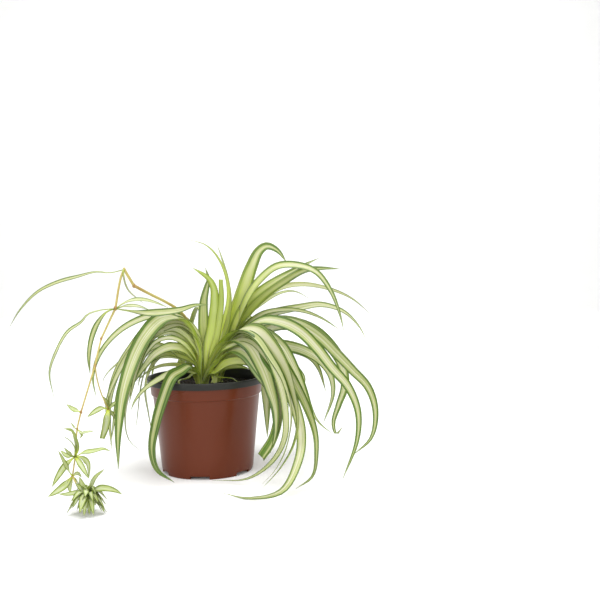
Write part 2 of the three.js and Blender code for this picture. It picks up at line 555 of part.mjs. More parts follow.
// The compost follows the pot's inside, has a lumpy top and a plain hole for each crown.
function soil() {
  const side = INSIDE.slice(0, -1).map(([r, z]) => [r === 0 ? 0 : r - GAP, z + GAP]);
  const rim = [COLLAR_RADIUS - 1 - WALL - GAP, SOIL_TOP];
  const top = SOIL_RINGS.map((r) => [r, SOIL_TOP]);
  const points = [...side, rim, ...top].map(([r, z]) => new THREE.Vector2(r, z));
  const geometry = new THREE.LatheGeometry(points, 20).rotateX(Math.PI / 2);
  const place = geometry.attributes.position;
  for (let i = 0; i < place.count; i += 1) {
    const [x, y, z] = [place.getX(i), place.getY(i), place.getZ(i)];
    if (z > SOIL_TOP - 0.01 && Math.hypot(x, y) < SOIL_RINGS[0] + 1) {
      place.setZ(i, z + SOIL_BUMP * Math.sin(0.31 * x + 1) * Math.cos(0.27 * y - 0.6));
    }
  }
  const holes = [LEFT_CROWN, RIGHT_CROWN].map((crown) => (
    post(crown, CROWN_RADIUS + GAP, CROWN_FOOT - GAP, HOLE_TOP, CROWN_SIDES)
  ));
  return solid(geometry).subtract(fuse(holes));
}

function rosette(crown, leaves) {
  const heart = post(crown, CROWN_RADIUS, CROWN_FOOT, CROWN_TOP, CROWN_SIDES);
  return fuse([heart, ...leaves.map((one) => rosetteBlade(crown, one))]);
}

// ---- the plant ---------------------------------------------------------------------------------------
const TERRACOTTA = { color: '#8a4a36', roughness: 0.32 };
const COMPOST = { color: '#2b2622', roughness: 0.95 };
const LEAF = { color: '#a8bb74', roughness: 0.45 };
const STRAW = { color: '#d8b25c', roughness: 0.5 };
const YOUNG_LEAF = { color: '#b4c478', roughness: 0.45 };

const plant = new THREE.Group();

function add(name, body, finish) {
  const mesh = new THREE.Mesh(geometryOf(body), new THREE.MeshStandardMaterial({ metalness: 0, ...finish }));
  mesh.name = name;
  plant.add(mesh);
}

const lowerBurst = burst(LOWER_PLANTLET, 5, {
  count: 20, length: [14, 19], width: [5, 7], tilt: [-0.6, 1.1],
});

add('pot', pot(), TERRACOTTA);
add('soil', soil(), COMPOST);
add('rosette_left', whole(rosette(LEFT_CROWN, [...LEFT_LEAVES, ...LEFT_FILL]).subtract(runner(GAP))), LEAF);
add('rosette_right', whole(rosette(RIGHT_CROWN, [...RIGHT_LEAVES, ...RIGHT_FILL])), LEAF);
add('runner', runner(0), STRAW);
add('kink_leaves', tuft(KINK, 3, KINK_LEAVES, RUNNER_BLADE_STEP), LEAF);
add('node_leaves', tuft(LEAF_JOINT, 3, NODE_LEAVES, RUNNER_BLADE_STEP), LEAF);
add('bract_leaf', tuft(BRACT_JOINT, 2.6, BRACT_LEAVES, YOUNG_BLADE_STEP), YOUNG_LEAF);
add('curl_leaves', tuft(CURL_JOINT, 2.2, CURL_LEAVES, YOUNG_BLADE_STEP), YOUNG_LEAF);
add('plantlet_upper', tuft(UPPER_PLANTLET, 3, UPPER_LEAVES, YOUNG_BLADE_STEP), YOUNG_LEAF);
add('plantlet_small', tuft(SMALL_PLANTLET, 2.6, SMALL_LEAVES, YOUNG_BLADE_STEP), YOUNG_LEAF);
const lowerLeaves = [...LOWER_LEAVES, ...lowerBurst];
add('plantlet_lower', tuft(LOWER_PLANTLET, 4, lowerLeaves, YOUNG_BLADE_STEP), YOUNG_LEAF);
add('plantlet_side', tuft(SIDE_PLANTLET, 2.6, SIDE_LEAVES, YOUNG_BLADE_STEP), YOUNG_LEAF);

export default plant;
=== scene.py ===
import math

import bpy
import numpy as np
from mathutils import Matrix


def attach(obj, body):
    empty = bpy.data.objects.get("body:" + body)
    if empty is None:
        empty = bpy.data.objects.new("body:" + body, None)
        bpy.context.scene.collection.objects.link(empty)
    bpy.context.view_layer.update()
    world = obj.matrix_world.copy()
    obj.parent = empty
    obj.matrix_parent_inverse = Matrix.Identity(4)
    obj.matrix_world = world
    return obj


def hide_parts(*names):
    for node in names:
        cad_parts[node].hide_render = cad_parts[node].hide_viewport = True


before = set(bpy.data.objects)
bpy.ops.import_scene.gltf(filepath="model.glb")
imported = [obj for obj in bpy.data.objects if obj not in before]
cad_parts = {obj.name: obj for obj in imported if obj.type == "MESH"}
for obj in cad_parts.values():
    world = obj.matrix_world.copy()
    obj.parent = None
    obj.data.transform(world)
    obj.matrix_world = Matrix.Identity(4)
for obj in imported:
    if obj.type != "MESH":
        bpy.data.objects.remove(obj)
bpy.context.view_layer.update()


# ---- Pot ---------------------------------------------------------------------------------------------
# A round 12 cm nursery pot, moulded in one piece from polypropylene: terracotta outside, with a dark grey
# lip and inside. Under the lip runs a wider collar, and the pot stands on a foot ring with six drainage
# notches and on the flat middle of its raised floor.
MM = 0.001  # sizes below are millimetres, and meshes are metres


def smooth(x):
    """0 below 0, 1 above 1, and between them the even curve 3x^2 - 2x^3."""
    t = np.clip(x, 0, 1)
    return t * t * (3 - 2 * t)


def rounded(outline, radius, steps=5):
    """An open outline with each inner corner P rounded: from A, `radius` before it, to B, `radius` after it
    (or a third of a shorter side), along (1-t)^2 A + 2t(1-t) P + t^2 B."""
    points = np.asarray(outline, float)
    corner = points[1:-1]
    back = points[:-2] - corner
    on = points[2:] - corner
    back_length = np.linalg.norm(back, axis=1, keepdims=True)
    on_length = np.linalg.norm(on, axis=1, keepdims=True)
    a = (corner + back * np.minimum(radius / back_length, 1 / 3))[:, None]
    b = (corner + on * np.minimum(radius / on_length, 1 / 3))[:, None]
    t = np.linspace(0, 1, steps)[None, :, None]
    bends = (1 - t) ** 2 * a + 2 * t * (1 - t) * corner[:, None] + t ** 2 * b
    return np.vstack([points[:1], bends.reshape(-1, 2), points[-1:]])


class Skin:
    """One procedural material. Each call adds a node and gives back its output, so that a pattern reads as
    a sum of its layers."""

    def __init__(self, name, roughness):
        self.material = bpy.data.materials.new(name)
        self.material.use_nodes = True
        self.tree = self.material.node_tree
        self.shader = self.tree.nodes["Principled BSDF"]
        self.shader.inputs["Roughness"].default_value = roughness

    def node(self, kind, inputs, **settings):
        made = self.tree.nodes.new(kind)
        for setting, value in settings.items():
            setattr(made, setting, value)
        for key, value in inputs.items():
            if isinstance(value, bpy.types.NodeSocket):
                self.tree.links.new(value, made.inputs[key])
            else:
                made.inputs[key].default_value = value
        return made

    def maths(self, operation, a, b=0.0):
        return self.node("ShaderNodeMath", {0: a, 1: b}, operation=operation).outputs[0]

    def plus(self, a, b):
        return self.maths("ADD", a, b)

    def minus(self, a, b):
        return self.maths("SUBTRACT", a, b)

    def times(self, a, b):
        return self.maths("MULTIPLY", a, b)

    def rise(self, value, low, high):
        """0 where value is below low, 1 above high, smooth between. With low above high it falls instead."""
        inputs = {"Value": value, "From Min": low, "From Max": high}
        return self.node("ShaderNodeMapRange", inputs, interpolation_type="SMOOTHSTEP").outputs["Result"]

    def mix(self, share, a, b, how="MIX"):
        """a where share is 0 and b where it is 1."""
        inputs = {0: share, 6: a, 7: b}
        return self.node("ShaderNodeMix", inputs, data_type="RGBA", blend_type=how).outputs[2]

    def stretched(self, x, y, z):
        """Three numbers as one vector, for a pattern that is longer one way than another."""
        return self.node("ShaderNodeCombineXYZ", {0: x, 1: y, 2: z}).outputs[0]

    def place(self):
        """The point on the piece, in metres."""
        return self.node("ShaderNodeTexCoord", {}).outputs["Object"]

    def noise(self, vector, scale, detail=2.0, rough=0.5):
        inputs = {"Vector": vector, "Scale": scale, "Detail": detail, "Roughness": rough}
        return self.node("ShaderNodeTexNoise", inputs).outputs["Fac"]

    def attribute(self, name):
        return self.node("ShaderNodeAttribute", {}, attribute_name=name).outputs["Fac"]

    def colour(self, value):
        self.tree.links.new(value, self.shader.inputs["Base Color"])

    def roughness(self, value):
        self.tree.links.new(value, self.shader.inputs["Roughness"])

    def glow(self, value):
        """The share of the light that is scattered inside the surface."""
        self.tree.links.new(value, self.shader.inputs["Subsurface Weight"])

    def relief(self, height, depth, strength=1.0):
        """Bumps `depth` metres high from a height between 0 and 1."""
        bump = self.node("ShaderNodeBump", {"Height": height, "Distance": depth, "Strength": strength})
        self.tree.links.new(bump.outputs[0], self.shader.inputs["Normal"])


def tint(code):
    """A hex colour as the linear red, green, blue and alpha that a node takes."""
    value = np.array([int(code[i:i + 2], 16) for i in (1, 3, 5)]) / 255
    linear = np.where(value <= 0.04045, value / 12.92, ((value + 0.055) / 1.055) ** 2.4)
    return (*linear.tolist(), 1.0)


def piece(name, patches, skins, slot, *stands_for):
    """One object from closed patches. A patch holds "at", a grid of points, rows by columns by 3, whose
    columns run round a ring: four-sided faces join neighbours, and one face closes each end. It may hold
    "uv", rows by columns by 2, "skin", the material's number for each strip of rows, and other grids of
    one number a point, which become attributes of those names."""
    sides, ends, skin_of = [], [], []
    start = 0
    for patch in patches:
        rows, columns = patch["at"].shape[:2]
        index = start + np.arange(rows * columns).reshape(rows, columns)
        beside = np.roll(index, -1, axis=1)
        sides.append(np.stack([index[:-1], beside[:-1], beside[1:], index[1:]], axis=-1).reshape(-1, 4))
        ends += [index[0][::-1].tolist(), index[-1].tolist()]
        skin_of.append(np.repeat(patch.get("skin", np.zeros(rows - 1, int)), columns))
        start += rows * columns
    last = [patch.get("skin", [0])[k] for patch in patches for k in (0, -1)]
    mesh = bpy.data.meshes.new(name)
    points = np.vstack([patch["at"].reshape(-1, 3) for patch in patches]) * MM
    mesh.from_pydata(points.tolist(), [], np.vstack(sides).tolist() + ends)
    mesh.polygons.foreach_set("material_index", np.concatenate([*skin_of, last]).astype(np.int32))
    corner = np.zeros(len(mesh.loops), np.int32)
    mesh.loops.foreach_get("vertex_index", corner)
    for grid in [key for key in patches[0] if key not in ("at", "skin")]:
        width = 2 if grid == "uv" else 1
        values = np.vstack([patch[grid].reshape(-1, width) for patch in patches]).astype(np.float32)
        if grid == "uv":
            mesh.uv_layers.new(name="UVMap").data.foreach_set("uv", values[corner].ravel())
        else:
            mesh.attributes.new(grid, "FLOAT", "POINT").data.foreach_set("value", values.ravel())
    mesh.shade_smooth()
    made = bpy.data.objects.new(name, mesh)
    bpy.context.scene.collection.objects.link(made)
    for skin in skins:
        mesh.materials.append(skin.material)
    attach(made, "root")
    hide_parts(*stands_for)
    return made


LIP_RADIUS = 60
POT_HEIGHT = 96.5
LIP_FOOT = 90  # the dark lip's lower edge
COLLAR_RADIUS = 57
COLLAR_FOOT = 78.5  # where the collar steps in to the wall
WALL_TOP_RADIUS = 54.3
WALL_FOOT_RADIUS = 46.8
WALL = 1.2
FLOOR_LIFT = 4  # how far the floor stands clear of the ground
FOOT_RING = 2.5  # width of the ring that the pot stands on
FLOOR_SLOPE = 2.5  # run of the slope between the raised floor and the boss
BOSS_RADIUS = 22  # flat middle of the floor, which touches the ground
NOTCHES = 6
NOTCH_ARC = 24  # degrees
NOTCH_HEIGHT = 3.4
FIRST_NOTCH = -94  # degrees from +X
OUTSIDE_ROUNDING = 0.7
LIP_ROUNDING = 0.5
SHARP_EDGE = 50  # degrees, past which an edge is shaded sharp

outside = [
    (BOSS_RADIUS - 2, 0),
    (BOSS_RADIUS, 0),
    (BOSS_RADIUS + FLOOR_SLOPE, FLOOR_LIFT),
    (WALL_FOOT_RADIUS - FOOT_RING - 1, FLOOR_LIFT),
    (WALL_FOOT_RADIUS - FOOT_RING, 0),
    (WALL_FOOT_RADIUS - 1, 0),
    (WALL_FOOT_RADIUS, FLOOR_LIFT),
    (WALL_TOP_RADIUS, COLLAR_FOOT - 0.3),
    (COLLAR_RADIUS - 1, COLLAR_FOOT + 0.7),
    (COLLAR_RADIUS, LIP_FOOT),
]
lip = [
    (COLLAR_RADIUS, LIP_FOOT),
    (LIP_RADIUS - 0.5, LIP_FOOT),
    (LIP_RADIUS, POT_HEIGHT - 1),
    (LIP_RADIUS - 0.6, POT_HEIGHT),
    (COLLAR_RADIUS + 0.4, POT_HEIGHT),
    (COLLAR_RADIUS - WALL, LIP_FOOT),
    (COLLAR_RADIUS - 1 - WALL, COLLAR_FOOT + 1),
    (WALL_TOP_RADIUS - WALL, COLLAR_FOOT),
    (WALL_FOOT_RADIUS - WALL, FLOOR_LIFT + WALL),
    (BOSS_RADIUS + FLOOR_SLOPE, FLOOR_LIFT + WALL),
    (BOSS_RADIUS, WALL),
    (BOSS_RADIUS - 2, WALL),
]
terracotta_profile = rounded(outside, OUTSIDE_ROUNDING)
grey_profile = rounded(lip, LIP_ROUNDING)


def pot_wall():
    """The profile turned about Z: (r cos a, r sin a, z). In the foot ring z is raised to the notch's height
    wherever a lies inside one of six equal notches, whose edges each fall between two close columns."""
    profile = np.vstack([terracotta_profile, grey_profile])
    pitch = 360 / NOTCHES
    edge = 0.1  # degrees from a notch's edge to the column on each side of it
    steps = [np.linspace(edge, NOTCH_ARC - edge, 9), np.linspace(NOTCH_ARC + edge, pitch - edge, 15)]
    one = np.concatenate(steps) - NOTCH_ARC / 2
    degrees = (FIRST_NOTCH + pitch * np.arange(NOTCHES)[:, None] + one).ravel()
    in_notch = np.tile(np.abs(one) < NOTCH_ARC / 2, NOTCHES)
    angle = np.radians(degrees)
    r, z = profile[:, :1], profile[:, 1:]
    ring = (r > WALL_FOOT_RADIUS - FOOT_RING - 2) & (z < FLOOR_LIFT)
    height = np.where(ring & in_notch[None], np.maximum(z, NOTCH_HEIGHT), z)
    at = np.stack([r * np.cos(angle), r * np.sin(angle), height], axis=-1)
    skin = (np.arange(len(profile) - 1) >= len(terracotta_profile) - 1).astype(int)
    return {"at": at, "skin": skin}


def moulded_plastic(name, colour, worn, roughness):
    """Smooth moulded polypropylene: its colour drifts a little, with faint dust that makes it duller."""
    skin = Skin(name, roughness)
    where = skin.place()
    cloud = skin.noise(where, 14, 1)
    skin.colour(skin.mix(skin.rise(cloud, 0.2, 0.8), tint(colour), tint(worn)))
    dust = skin.times(skin.rise(cloud, 0.1, 0.9), 0.08)
    skin.roughness(skin.plus(dust, roughness))
    skin.shader.inputs["Specular IOR Level"].default_value = 0.22
    return skin


terracotta = moulded_plastic("terracotta_plastic", "#59250e", "#5e2810", 0.26)
dark_grey = moulded_plastic("dark_grey_plastic", "#1f201d", "#272824", 0.38)
pot = piece("nursery_pot", [pot_wall()], [terracotta, dark_grey], "terracotta_plastic", "pot")
pot.data.set_sharp_from_angle(angle=math.radians(SHARP_EDGE))


# ---- Compost -----------------------------------------------------------------------------------------
# Dark peat compost, poured in and firmed by hand. Its top is uneven and open, with crumbs lying loose on it.
# It fills the pot to about 10 mm under the rim.
SOIL_TOP = 86
SOIL_BUMP = 1.1  # height of the solid's lumps
SOIL_GAP = 0.4  # clear space between compost and pot
CRUMB_REACH = 54  # how far from the pot's axis crumbs lie


def waves(x, y, seed, longest, count=22):
    """A rough surface: a third of the sum of sine waves in drawn directions, each 0.82 times as long and as
    high as the one before."""
    draw = np.random.default_rng(seed)
    heading = draw.uniform(0, 2 * np.pi, count)
    length = longest * 0.82 ** np.arange(count)
    shift = draw.uniform(0, 2 * np.pi, count)
    along = x[..., None] * np.cos(heading) + y[..., None] * np.sin(heading)
    return (np.sin(2 * np.pi * along / length + shift) * length / longest).sum(axis=-1) / 3


def soil_height(x, y):
    """SOIL_TOP and 0.7 of the solid's lumps, SOIL_BUMP sin(0.31x + 1) cos(0.27y - 0.6), with finer waves,
    9 mm long and shorter, on them."""
    lumps = SOIL_BUMP * np.sin(0.31 * x + 1) * np.cos(0.27 * y - 0.6)
    return SOIL_TOP + 0.7 * lumps + 0.55 * waves(x, y, 3, 9)


def compost_body():
    """Rings of points: up the pot's inside wall, then inwards over the top, where z is the soil's height."""
    rim = COLLAR_RADIUS - 1 - WALL - SOIL_GAP
    side = np.array([
        (BOSS_RADIUS - 2, WALL + SOIL_GAP),
        (BOSS_RADIUS - SOIL_GAP, WALL + SOIL_GAP),
        (BOSS_RADIUS + FLOOR_SLOPE, FLOOR_LIFT + WALL + SOIL_GAP),
        (WALL_FOOT_RADIUS - WALL - SOIL_GAP, FLOOR_LIFT + WALL + SOIL_GAP),
        (WALL_TOP_RADIUS - WALL - SOIL_GAP, COLLAR_FOOT + SOIL_GAP),
        (rim, COLLAR_FOOT + 1 + SOIL_GAP),
    ])
    top = np.linspace(rim, 1, 90)
    angle = np.linspace(0, 2 * np.pi, 240, endpoint=False)
    r = np.concatenate([side[:, 0], top])[:, None]
    x, y = r * np.cos(angle), r * np.sin(angle)
    z = soil_height(x, y)
    z[:len(side)] = side[:, 1:]
    return {"at": np.stack([x, y, z], axis=-1)}


def crumbs(count, size, flatness, seed):
    """Loose bits on the compost. Each is a ball of 5 rings of 7 points, squeezed to its own three sizes,
    roughened, turned about Z and set down on the soil's height at a drawn place."""
    draw = np.random.default_rng(seed)
    r = CRUMB_REACH * np.sqrt(draw.uniform(0, 1, count))
    place = draw.uniform(0, 2 * np.pi, count)
    half = draw.uniform(size[0], size[1], (count, 1, 1, 1)) * draw.uniform(0.5, 1, (count, 1, 1, 3))
    half[..., 2] *= flatness
    up = np.linspace(-0.9, 0.9, 5) * np.pi / 2
    round_ = np.linspace(0, 2 * np.pi, 7, endpoint=False)
    ring = np.cos(up)[:, None]
    high = np.sin(up)[:, None] + 0 * round_
    ball = np.stack([ring * np.cos(round_), ring * np.sin(round_), high], axis=-1)
    ball = ball * half * draw.uniform(0.75, 1.15, (count, 5, 7, 1))
    turn = draw.uniform(0, 2 * np.pi, (count, 1, 1))
    x = r * np.cos(place)
    y = r * np.sin(place)
    at = np.stack([
        ball[..., 0] * np.cos(turn) - ball[..., 1] * np.sin(turn) + x[:, None, None],
        ball[..., 0] * np.sin(turn) + ball[..., 1] * np.cos(turn) + y[:, None, None],
        ball[..., 2] + soil_height(x, y)[:, None, None] + 0.2 * half[..., 2],
    ], axis=-1)
    tone = draw.uniform(0, 1, count)
    return [{"at": one, "tone": np.full((5, 7), shade)} for one, shade in zip(at, tone)]


def peat():
    """Moist peat: nearly black, with browner crumbs, dull, and rough at every scale."""
    skin = Skin("peat_compost", 0.9)
    where = skin.place()
    lump = skin.noise(where, 240, 5, 0.65)
    grain = skin.noise(where, 1400, 3, 0.7)
    dark = skin.mix(skin.rise(lump, 0.35, 0.7), tint("#0c0a07"), tint("#211a13"))
    skin.colour(skin.mix(skin.rise(grain, 0.6, 0.8), dark, tint("#33281d")))
    skin.relief(skin.plus(lump, grain), 0.0009)
    return skin


def loose_peat():
    """Crumbs that dried a little, each with its own brown."""
    skin = Skin("peat_crumbs", 0.95)
    where = skin.place()
    grain = skin.noise(where, 1100, 3, 0.7)
    brown = skin.mix(skin.attribute("tone"), tint("#0f0b08"), tint("#33261c"))
    skin.colour(skin.mix(skin.rise(grain, 0.45, 0.8), brown, tint("#443527")))
    skin.relief(grain, 0.0004)
    return skin


piece("compost", [compost_body()], [peat()], "compost", "soil")
piece("compost_crumbs", crumbs(900, (0.5, 1.7), 0.7, 8), [loose_peat()], "compost", "soil")


# ---- Left rosette ------------------------------------------------------------------------------------
# The plant's left and front shoot. A short crown stem in the compost carries strap leaves that clasp it one
# inside the other. A leaf is folded along its midrib, lime at its base, and cream between green margins,
# with fine green veins. It rises, arches over and tapers to a point, or ends broad where it was cut back.
LEFT_CROWN = (-4, -6)
ROOT_HEIGHT = 84  # where a leaf leaves its crown
ROOT_REACH = 3
NECK_HEIGHT = 104  # an upright leaf's first bend above its root
NECK_REACH = 4
NECK_LEAN = 6  # how much further out that bend lies on a low leaf
NECK_DROP = 4  # and how much lower
KEEL = 0.65  # half a leaf's thickness along its middle
FOLD = 0.32  # depth of the channel, as a share of half the width
SHOULDER = 0.45  # share of its length where a leaf reaches its full width
BASE_SHARE = 0.62  # width at the root, as a share of the full width
TIP_HALF = 0.18  # half width of a leaf's very tip
RIPPLE = 0.12  # how much the channel's depth varies along a leaf
RIPPLE_TURN = 26  # radians of that ripple from root to tip
SHORTEST_RUN = 18  # an outer half that runs less in plan hangs straight down
SECTION = 16  # points round a leaf's section
LONG_ROWS = 60  # sections along a rosette leaf
CROWN_RADIUS = 7
CROWN_TIP_RADIUS = 3
CROWN_FOOT = 76
CROWN_TOP = 95
ARCHED_PEAK = 150  # a leaf whose highest point lies here
ARCHED_LIME = 80  # is lime so far up its length
UPRIGHT_PEAK = 200
UPRIGHT_LIME = 170
YOUNG_LIME_SHARE = 0.28  # share of a runner leaf's length that is lime


def unit(vectors):
    return vectors / np.maximum(np.linalg.norm(vectors, axis=-1, keepdims=True), 1e-9)


def through(path, rows):
    """Points and directions, evenly spaced by length, on the centripetal Catmull-Rom curve through the
    path: between two points it is the cubic with slopes that weigh each chord by the root of its length."""
    knots = np.asarray(path, float)
    knots = np.vstack([2 * knots[0] - knots[1], knots, 2 * knots[-1] - knots[-2]])
    time = np.linspace(0, len(path) - 1, 40 * (len(path) - 1) + 1)
    first = np.minimum(time.astype(int), len(path) - 2)
    w = (time - first)[:, None]
    p0, p1, p2, p3 = (knots[first + k] for k in range(4))
    d0, d1, d2 = (np.sqrt(np.linalg.norm(b - a, axis=1, keepdims=True))
                  for a, b in ((p0, p1), (p1, p2), (p2, p3)))
    m1 = d1 * ((p1 - p0) / d0 - (p2 - p0) / (d0 + d1) + (p2 - p1) / d1)
    m2 = d1 * ((p2 - p1) / d1 - (p3 - p1) / (d1 + d2) + (p3 - p2) / d2)
    dense = p1 + m1 * w + (3 * (p2 - p1) - 2 * m1 - m2) * w ** 2 + (2 * (p1 - p2) + m1 + m2) * w ** 3
    length = np.concatenate([[0], np.cumsum(np.linalg.norm(np.diff(dense, axis=0), axis=1))])
    run = unit(np.gradient(dense, axis=0))
    s = np.linspace(0, length[-1], rows)
    at = np.stack([np.interp(s, length, dense[:, k]) for k in range(3)], axis=-1)
    return at, unit(np.stack([np.interp(s, length, run[:, k]) for k in range(3)], axis=-1))


def blade(path, one, rows, base, keel):
    """One leaf. With s from 0 at the root to 1 at the tip, x from -1 to 1 across and S the smooth curve, the
    half width is width/2 (base + (1-base) S(s/SHOULDER)) (1 - (kept s)^3)^0.9. The channel's height is
    FOLD half (|x|^1.3 - 1/2), rippled along s, and the thickness falls from the midrib to the edges. The
    section lies level across the curve, turned about it by turn S((s - level)/(SHOULDER - level))."""
    centre, run = through(path, rows)
    s = np.linspace(0, 1, rows)
    sideways = np.array([[0, 1, 0], [-1, 0, 0], [0, 0, 0]])
    halves = np.array([centre[rows // 2] - centre[0], centre[-1] - centre[rows // 2]]) @ sideways.T
    first, last = unit(halves)
    if np.linalg.norm(halves[1]) < SHORTEST_RUN or first @ last < -0.2:
        last = first
    sway = smooth(s)[:, None]
    side = first * (1 - sway) + last * sway
    side = unit(side - (side * run).sum(axis=1, keepdims=True) * run)
    face = np.cross(side, run)
    angle = np.radians(one["turn"]) * smooth((s - one["level"]) / (SHOULDER - one["level"]))[:, None]
    across = side * np.cos(angle) + face * np.sin(angle)
    up = face * np.cos(angle) - side * np.sin(angle)
    taper = np.maximum(1 - (s * one["kept"]) ** 3, 0) ** 0.9
    half = np.maximum(one["width"] / 2 * (base + (1 - base) * smooth(s / SHOULDER)) * taper, TIP_HALF)
    thick = keel * (1 - 0.5 * s) * np.minimum(1, half / (2 * keel))
    around = np.linspace(0, 2 * np.pi, SECTION, endpoint=False)
    x = np.cos(around)
    upper = np.where(np.sin(around) > 0.01, 1, np.where(np.sin(around) < -0.01, -1, 0))
    body = 0.35 * np.abs(np.sin(around)) + 0.65 * (1 - np.abs(x))
    ripple = 1 + RIPPLE * np.sin(one["phase"] + RIPPLE_TURN * s)
    height = (half * FOLD * ripple)[:, None] * (np.abs(x) ** 1.3 - 0.5) + thick[:, None] * body * upper
    at = centre[:, None] + across[:, None] * (half[:, None] * x)[..., None] + up[:, None] * height[..., None]
    flat = np.ones((rows, SECTION))
    uv = np.stack([flat * (0.5 + 0.5 * x), s[:, None] * flat], axis=-1)
    under = flat * (upper < 0)
    own = {key: flat * one[key] for key in ("tone", "stripe", "fresh")}
    return {"at": at, "uv": uv, "under": under, **own}


def leaf(width, turn, *path, level=0.0, kept=1.0, stripe=None, lime=None):
    """One leaf of a table: width, twist in degrees, the points that it passes through, the share of its
    length where its twist begins, the share that was kept, how far its cream stripe reaches from the midrib
    to the edge, and how far lime reaches up it in millimetres."""
    own = {"level": level, "kept": kept, "stripe": stripe, "lime": lime}
    return {"width": width, "turn": turn, "path": path, **own}


def draws(seed):
    """Draws between 0 and 1 by Park and Miller's rule, state = 16807 state mod 2147483647."""
    state = seed
    while True:
        state = state * 16807 % 2147483647
        yield state / 2147483647


def sector(crown, seed, count, azimuths, reach, peak, tip, width, turn):
    """Leaves that fill a sector of a rosette: each rises to its peak, arches over the lip and hangs to its
    tip, with a small drift to one side."""
    draw = draws(seed)

    def between(pair):
        return pair[0] + (pair[1] - pair[0]) * next(draw)

    made = []
    for i in range(count):
        turned = azimuths[0] + (azimuths[1] - azimuths[0]) * (i + 0.15 + 0.7 * next(draw)) / count
        along = np.array([math.cos(math.radians(turned)), math.sin(math.radians(turned))])
        aside = np.array([-along[1], along[0]])
        far, top, low = between(reach), between(peak), between(tip)
        drift = 10 * (next(draw) - 0.5)
        steps = ((0.46, 0.2, top), (0.82, 0.6, top - 0.28 * (top - low)), (1, 1, low))
        path = [(*(crown + along * far * share + aside * drift * swing), z) for share, swing, z in steps]
        made.append(leaf(between(width), between(turn), *path))
    return made


def dress(leaves, seed):
    """Gives each leaf its own tone, stripe and ripple, drawn in the order of the table."""
    draw = np.random.default_rng(seed)
    for one in leaves:
        tone, stripe, phase = draw.uniform(0, 1), draw.uniform(0.58, 0.86), draw.uniform(0, 2 * np.pi)
        one.update(tone=tone, stripe=one["stripe"] or stripe, phase=phase, fresh=YOUNG_LIME_SHARE)
    return leaves


def rosette_blade(crown, one):
    """A leaf leaves its crown steeply on the side that it grows to, then follows its own points. The leaves
    that stand highest are the youngest, and lime reaches furthest up them."""
    target = np.array(one["path"][0], float)
    out = target[:2] - crown
    reach = np.linalg.norm(out)
    out = out / reach
    lean = min(1, reach / max(1, target[2] - SOIL_TOP))
    root = (*(crown + out * ROOT_REACH), ROOT_HEIGHT)
    neck = (*(crown + out * (NECK_REACH + NECK_LEAN * lean)), NECK_HEIGHT - NECK_DROP * lean)
    path = np.array([root, neck, *one["path"]])
    length = np.linalg.norm(np.diff(path, axis=0), axis=1).sum()
    youth = smooth((path[:, 2].max() - ARCHED_PEAK) / (UPRIGHT_PEAK - ARCHED_PEAK))
    lime = one["lime"] or ARCHED_LIME + (UPRIGHT_LIME - ARCHED_LIME) * youth
    one["fresh"] = lime / length
    return blade(path, one, LONG_ROWS, BASE_SHARE, KEEL)


def crown_stem(crown):
    """The short stem under the leaves: a round plug, (r cos a, r sin a, z), whose r falls smoothly from
    CROWN_RADIUS at the leaves' roots to CROWN_TIP_RADIUS at its top."""
    z = np.linspace(CROWN_FOOT, CROWN_TOP, 12)[:, None]
    angle = np.linspace(0, 2 * np.pi, SECTION, endpoint=False)
    narrowed = smooth((z - ROOT_HEIGHT) / (CROWN_TOP - ROOT_HEIGHT))
    r = CROWN_RADIUS - (CROWN_RADIUS - CROWN_TIP_RADIUS) * narrowed
    at = np.stack([crown[0] + r * np.cos(angle), crown[1] + r * np.sin(angle), z + 0 * angle], axis=-1)
    flat = np.ones(at.shape[:2])
    uv = np.stack([flat * 0.5, flat * 0.02], axis=-1)
    own = {"under": 0 * flat, "tone": 0.3 * flat, "stripe": 0.7 * flat, "fresh": 0.9 * flat}
    return {"at": at, "uv": uv, **own}


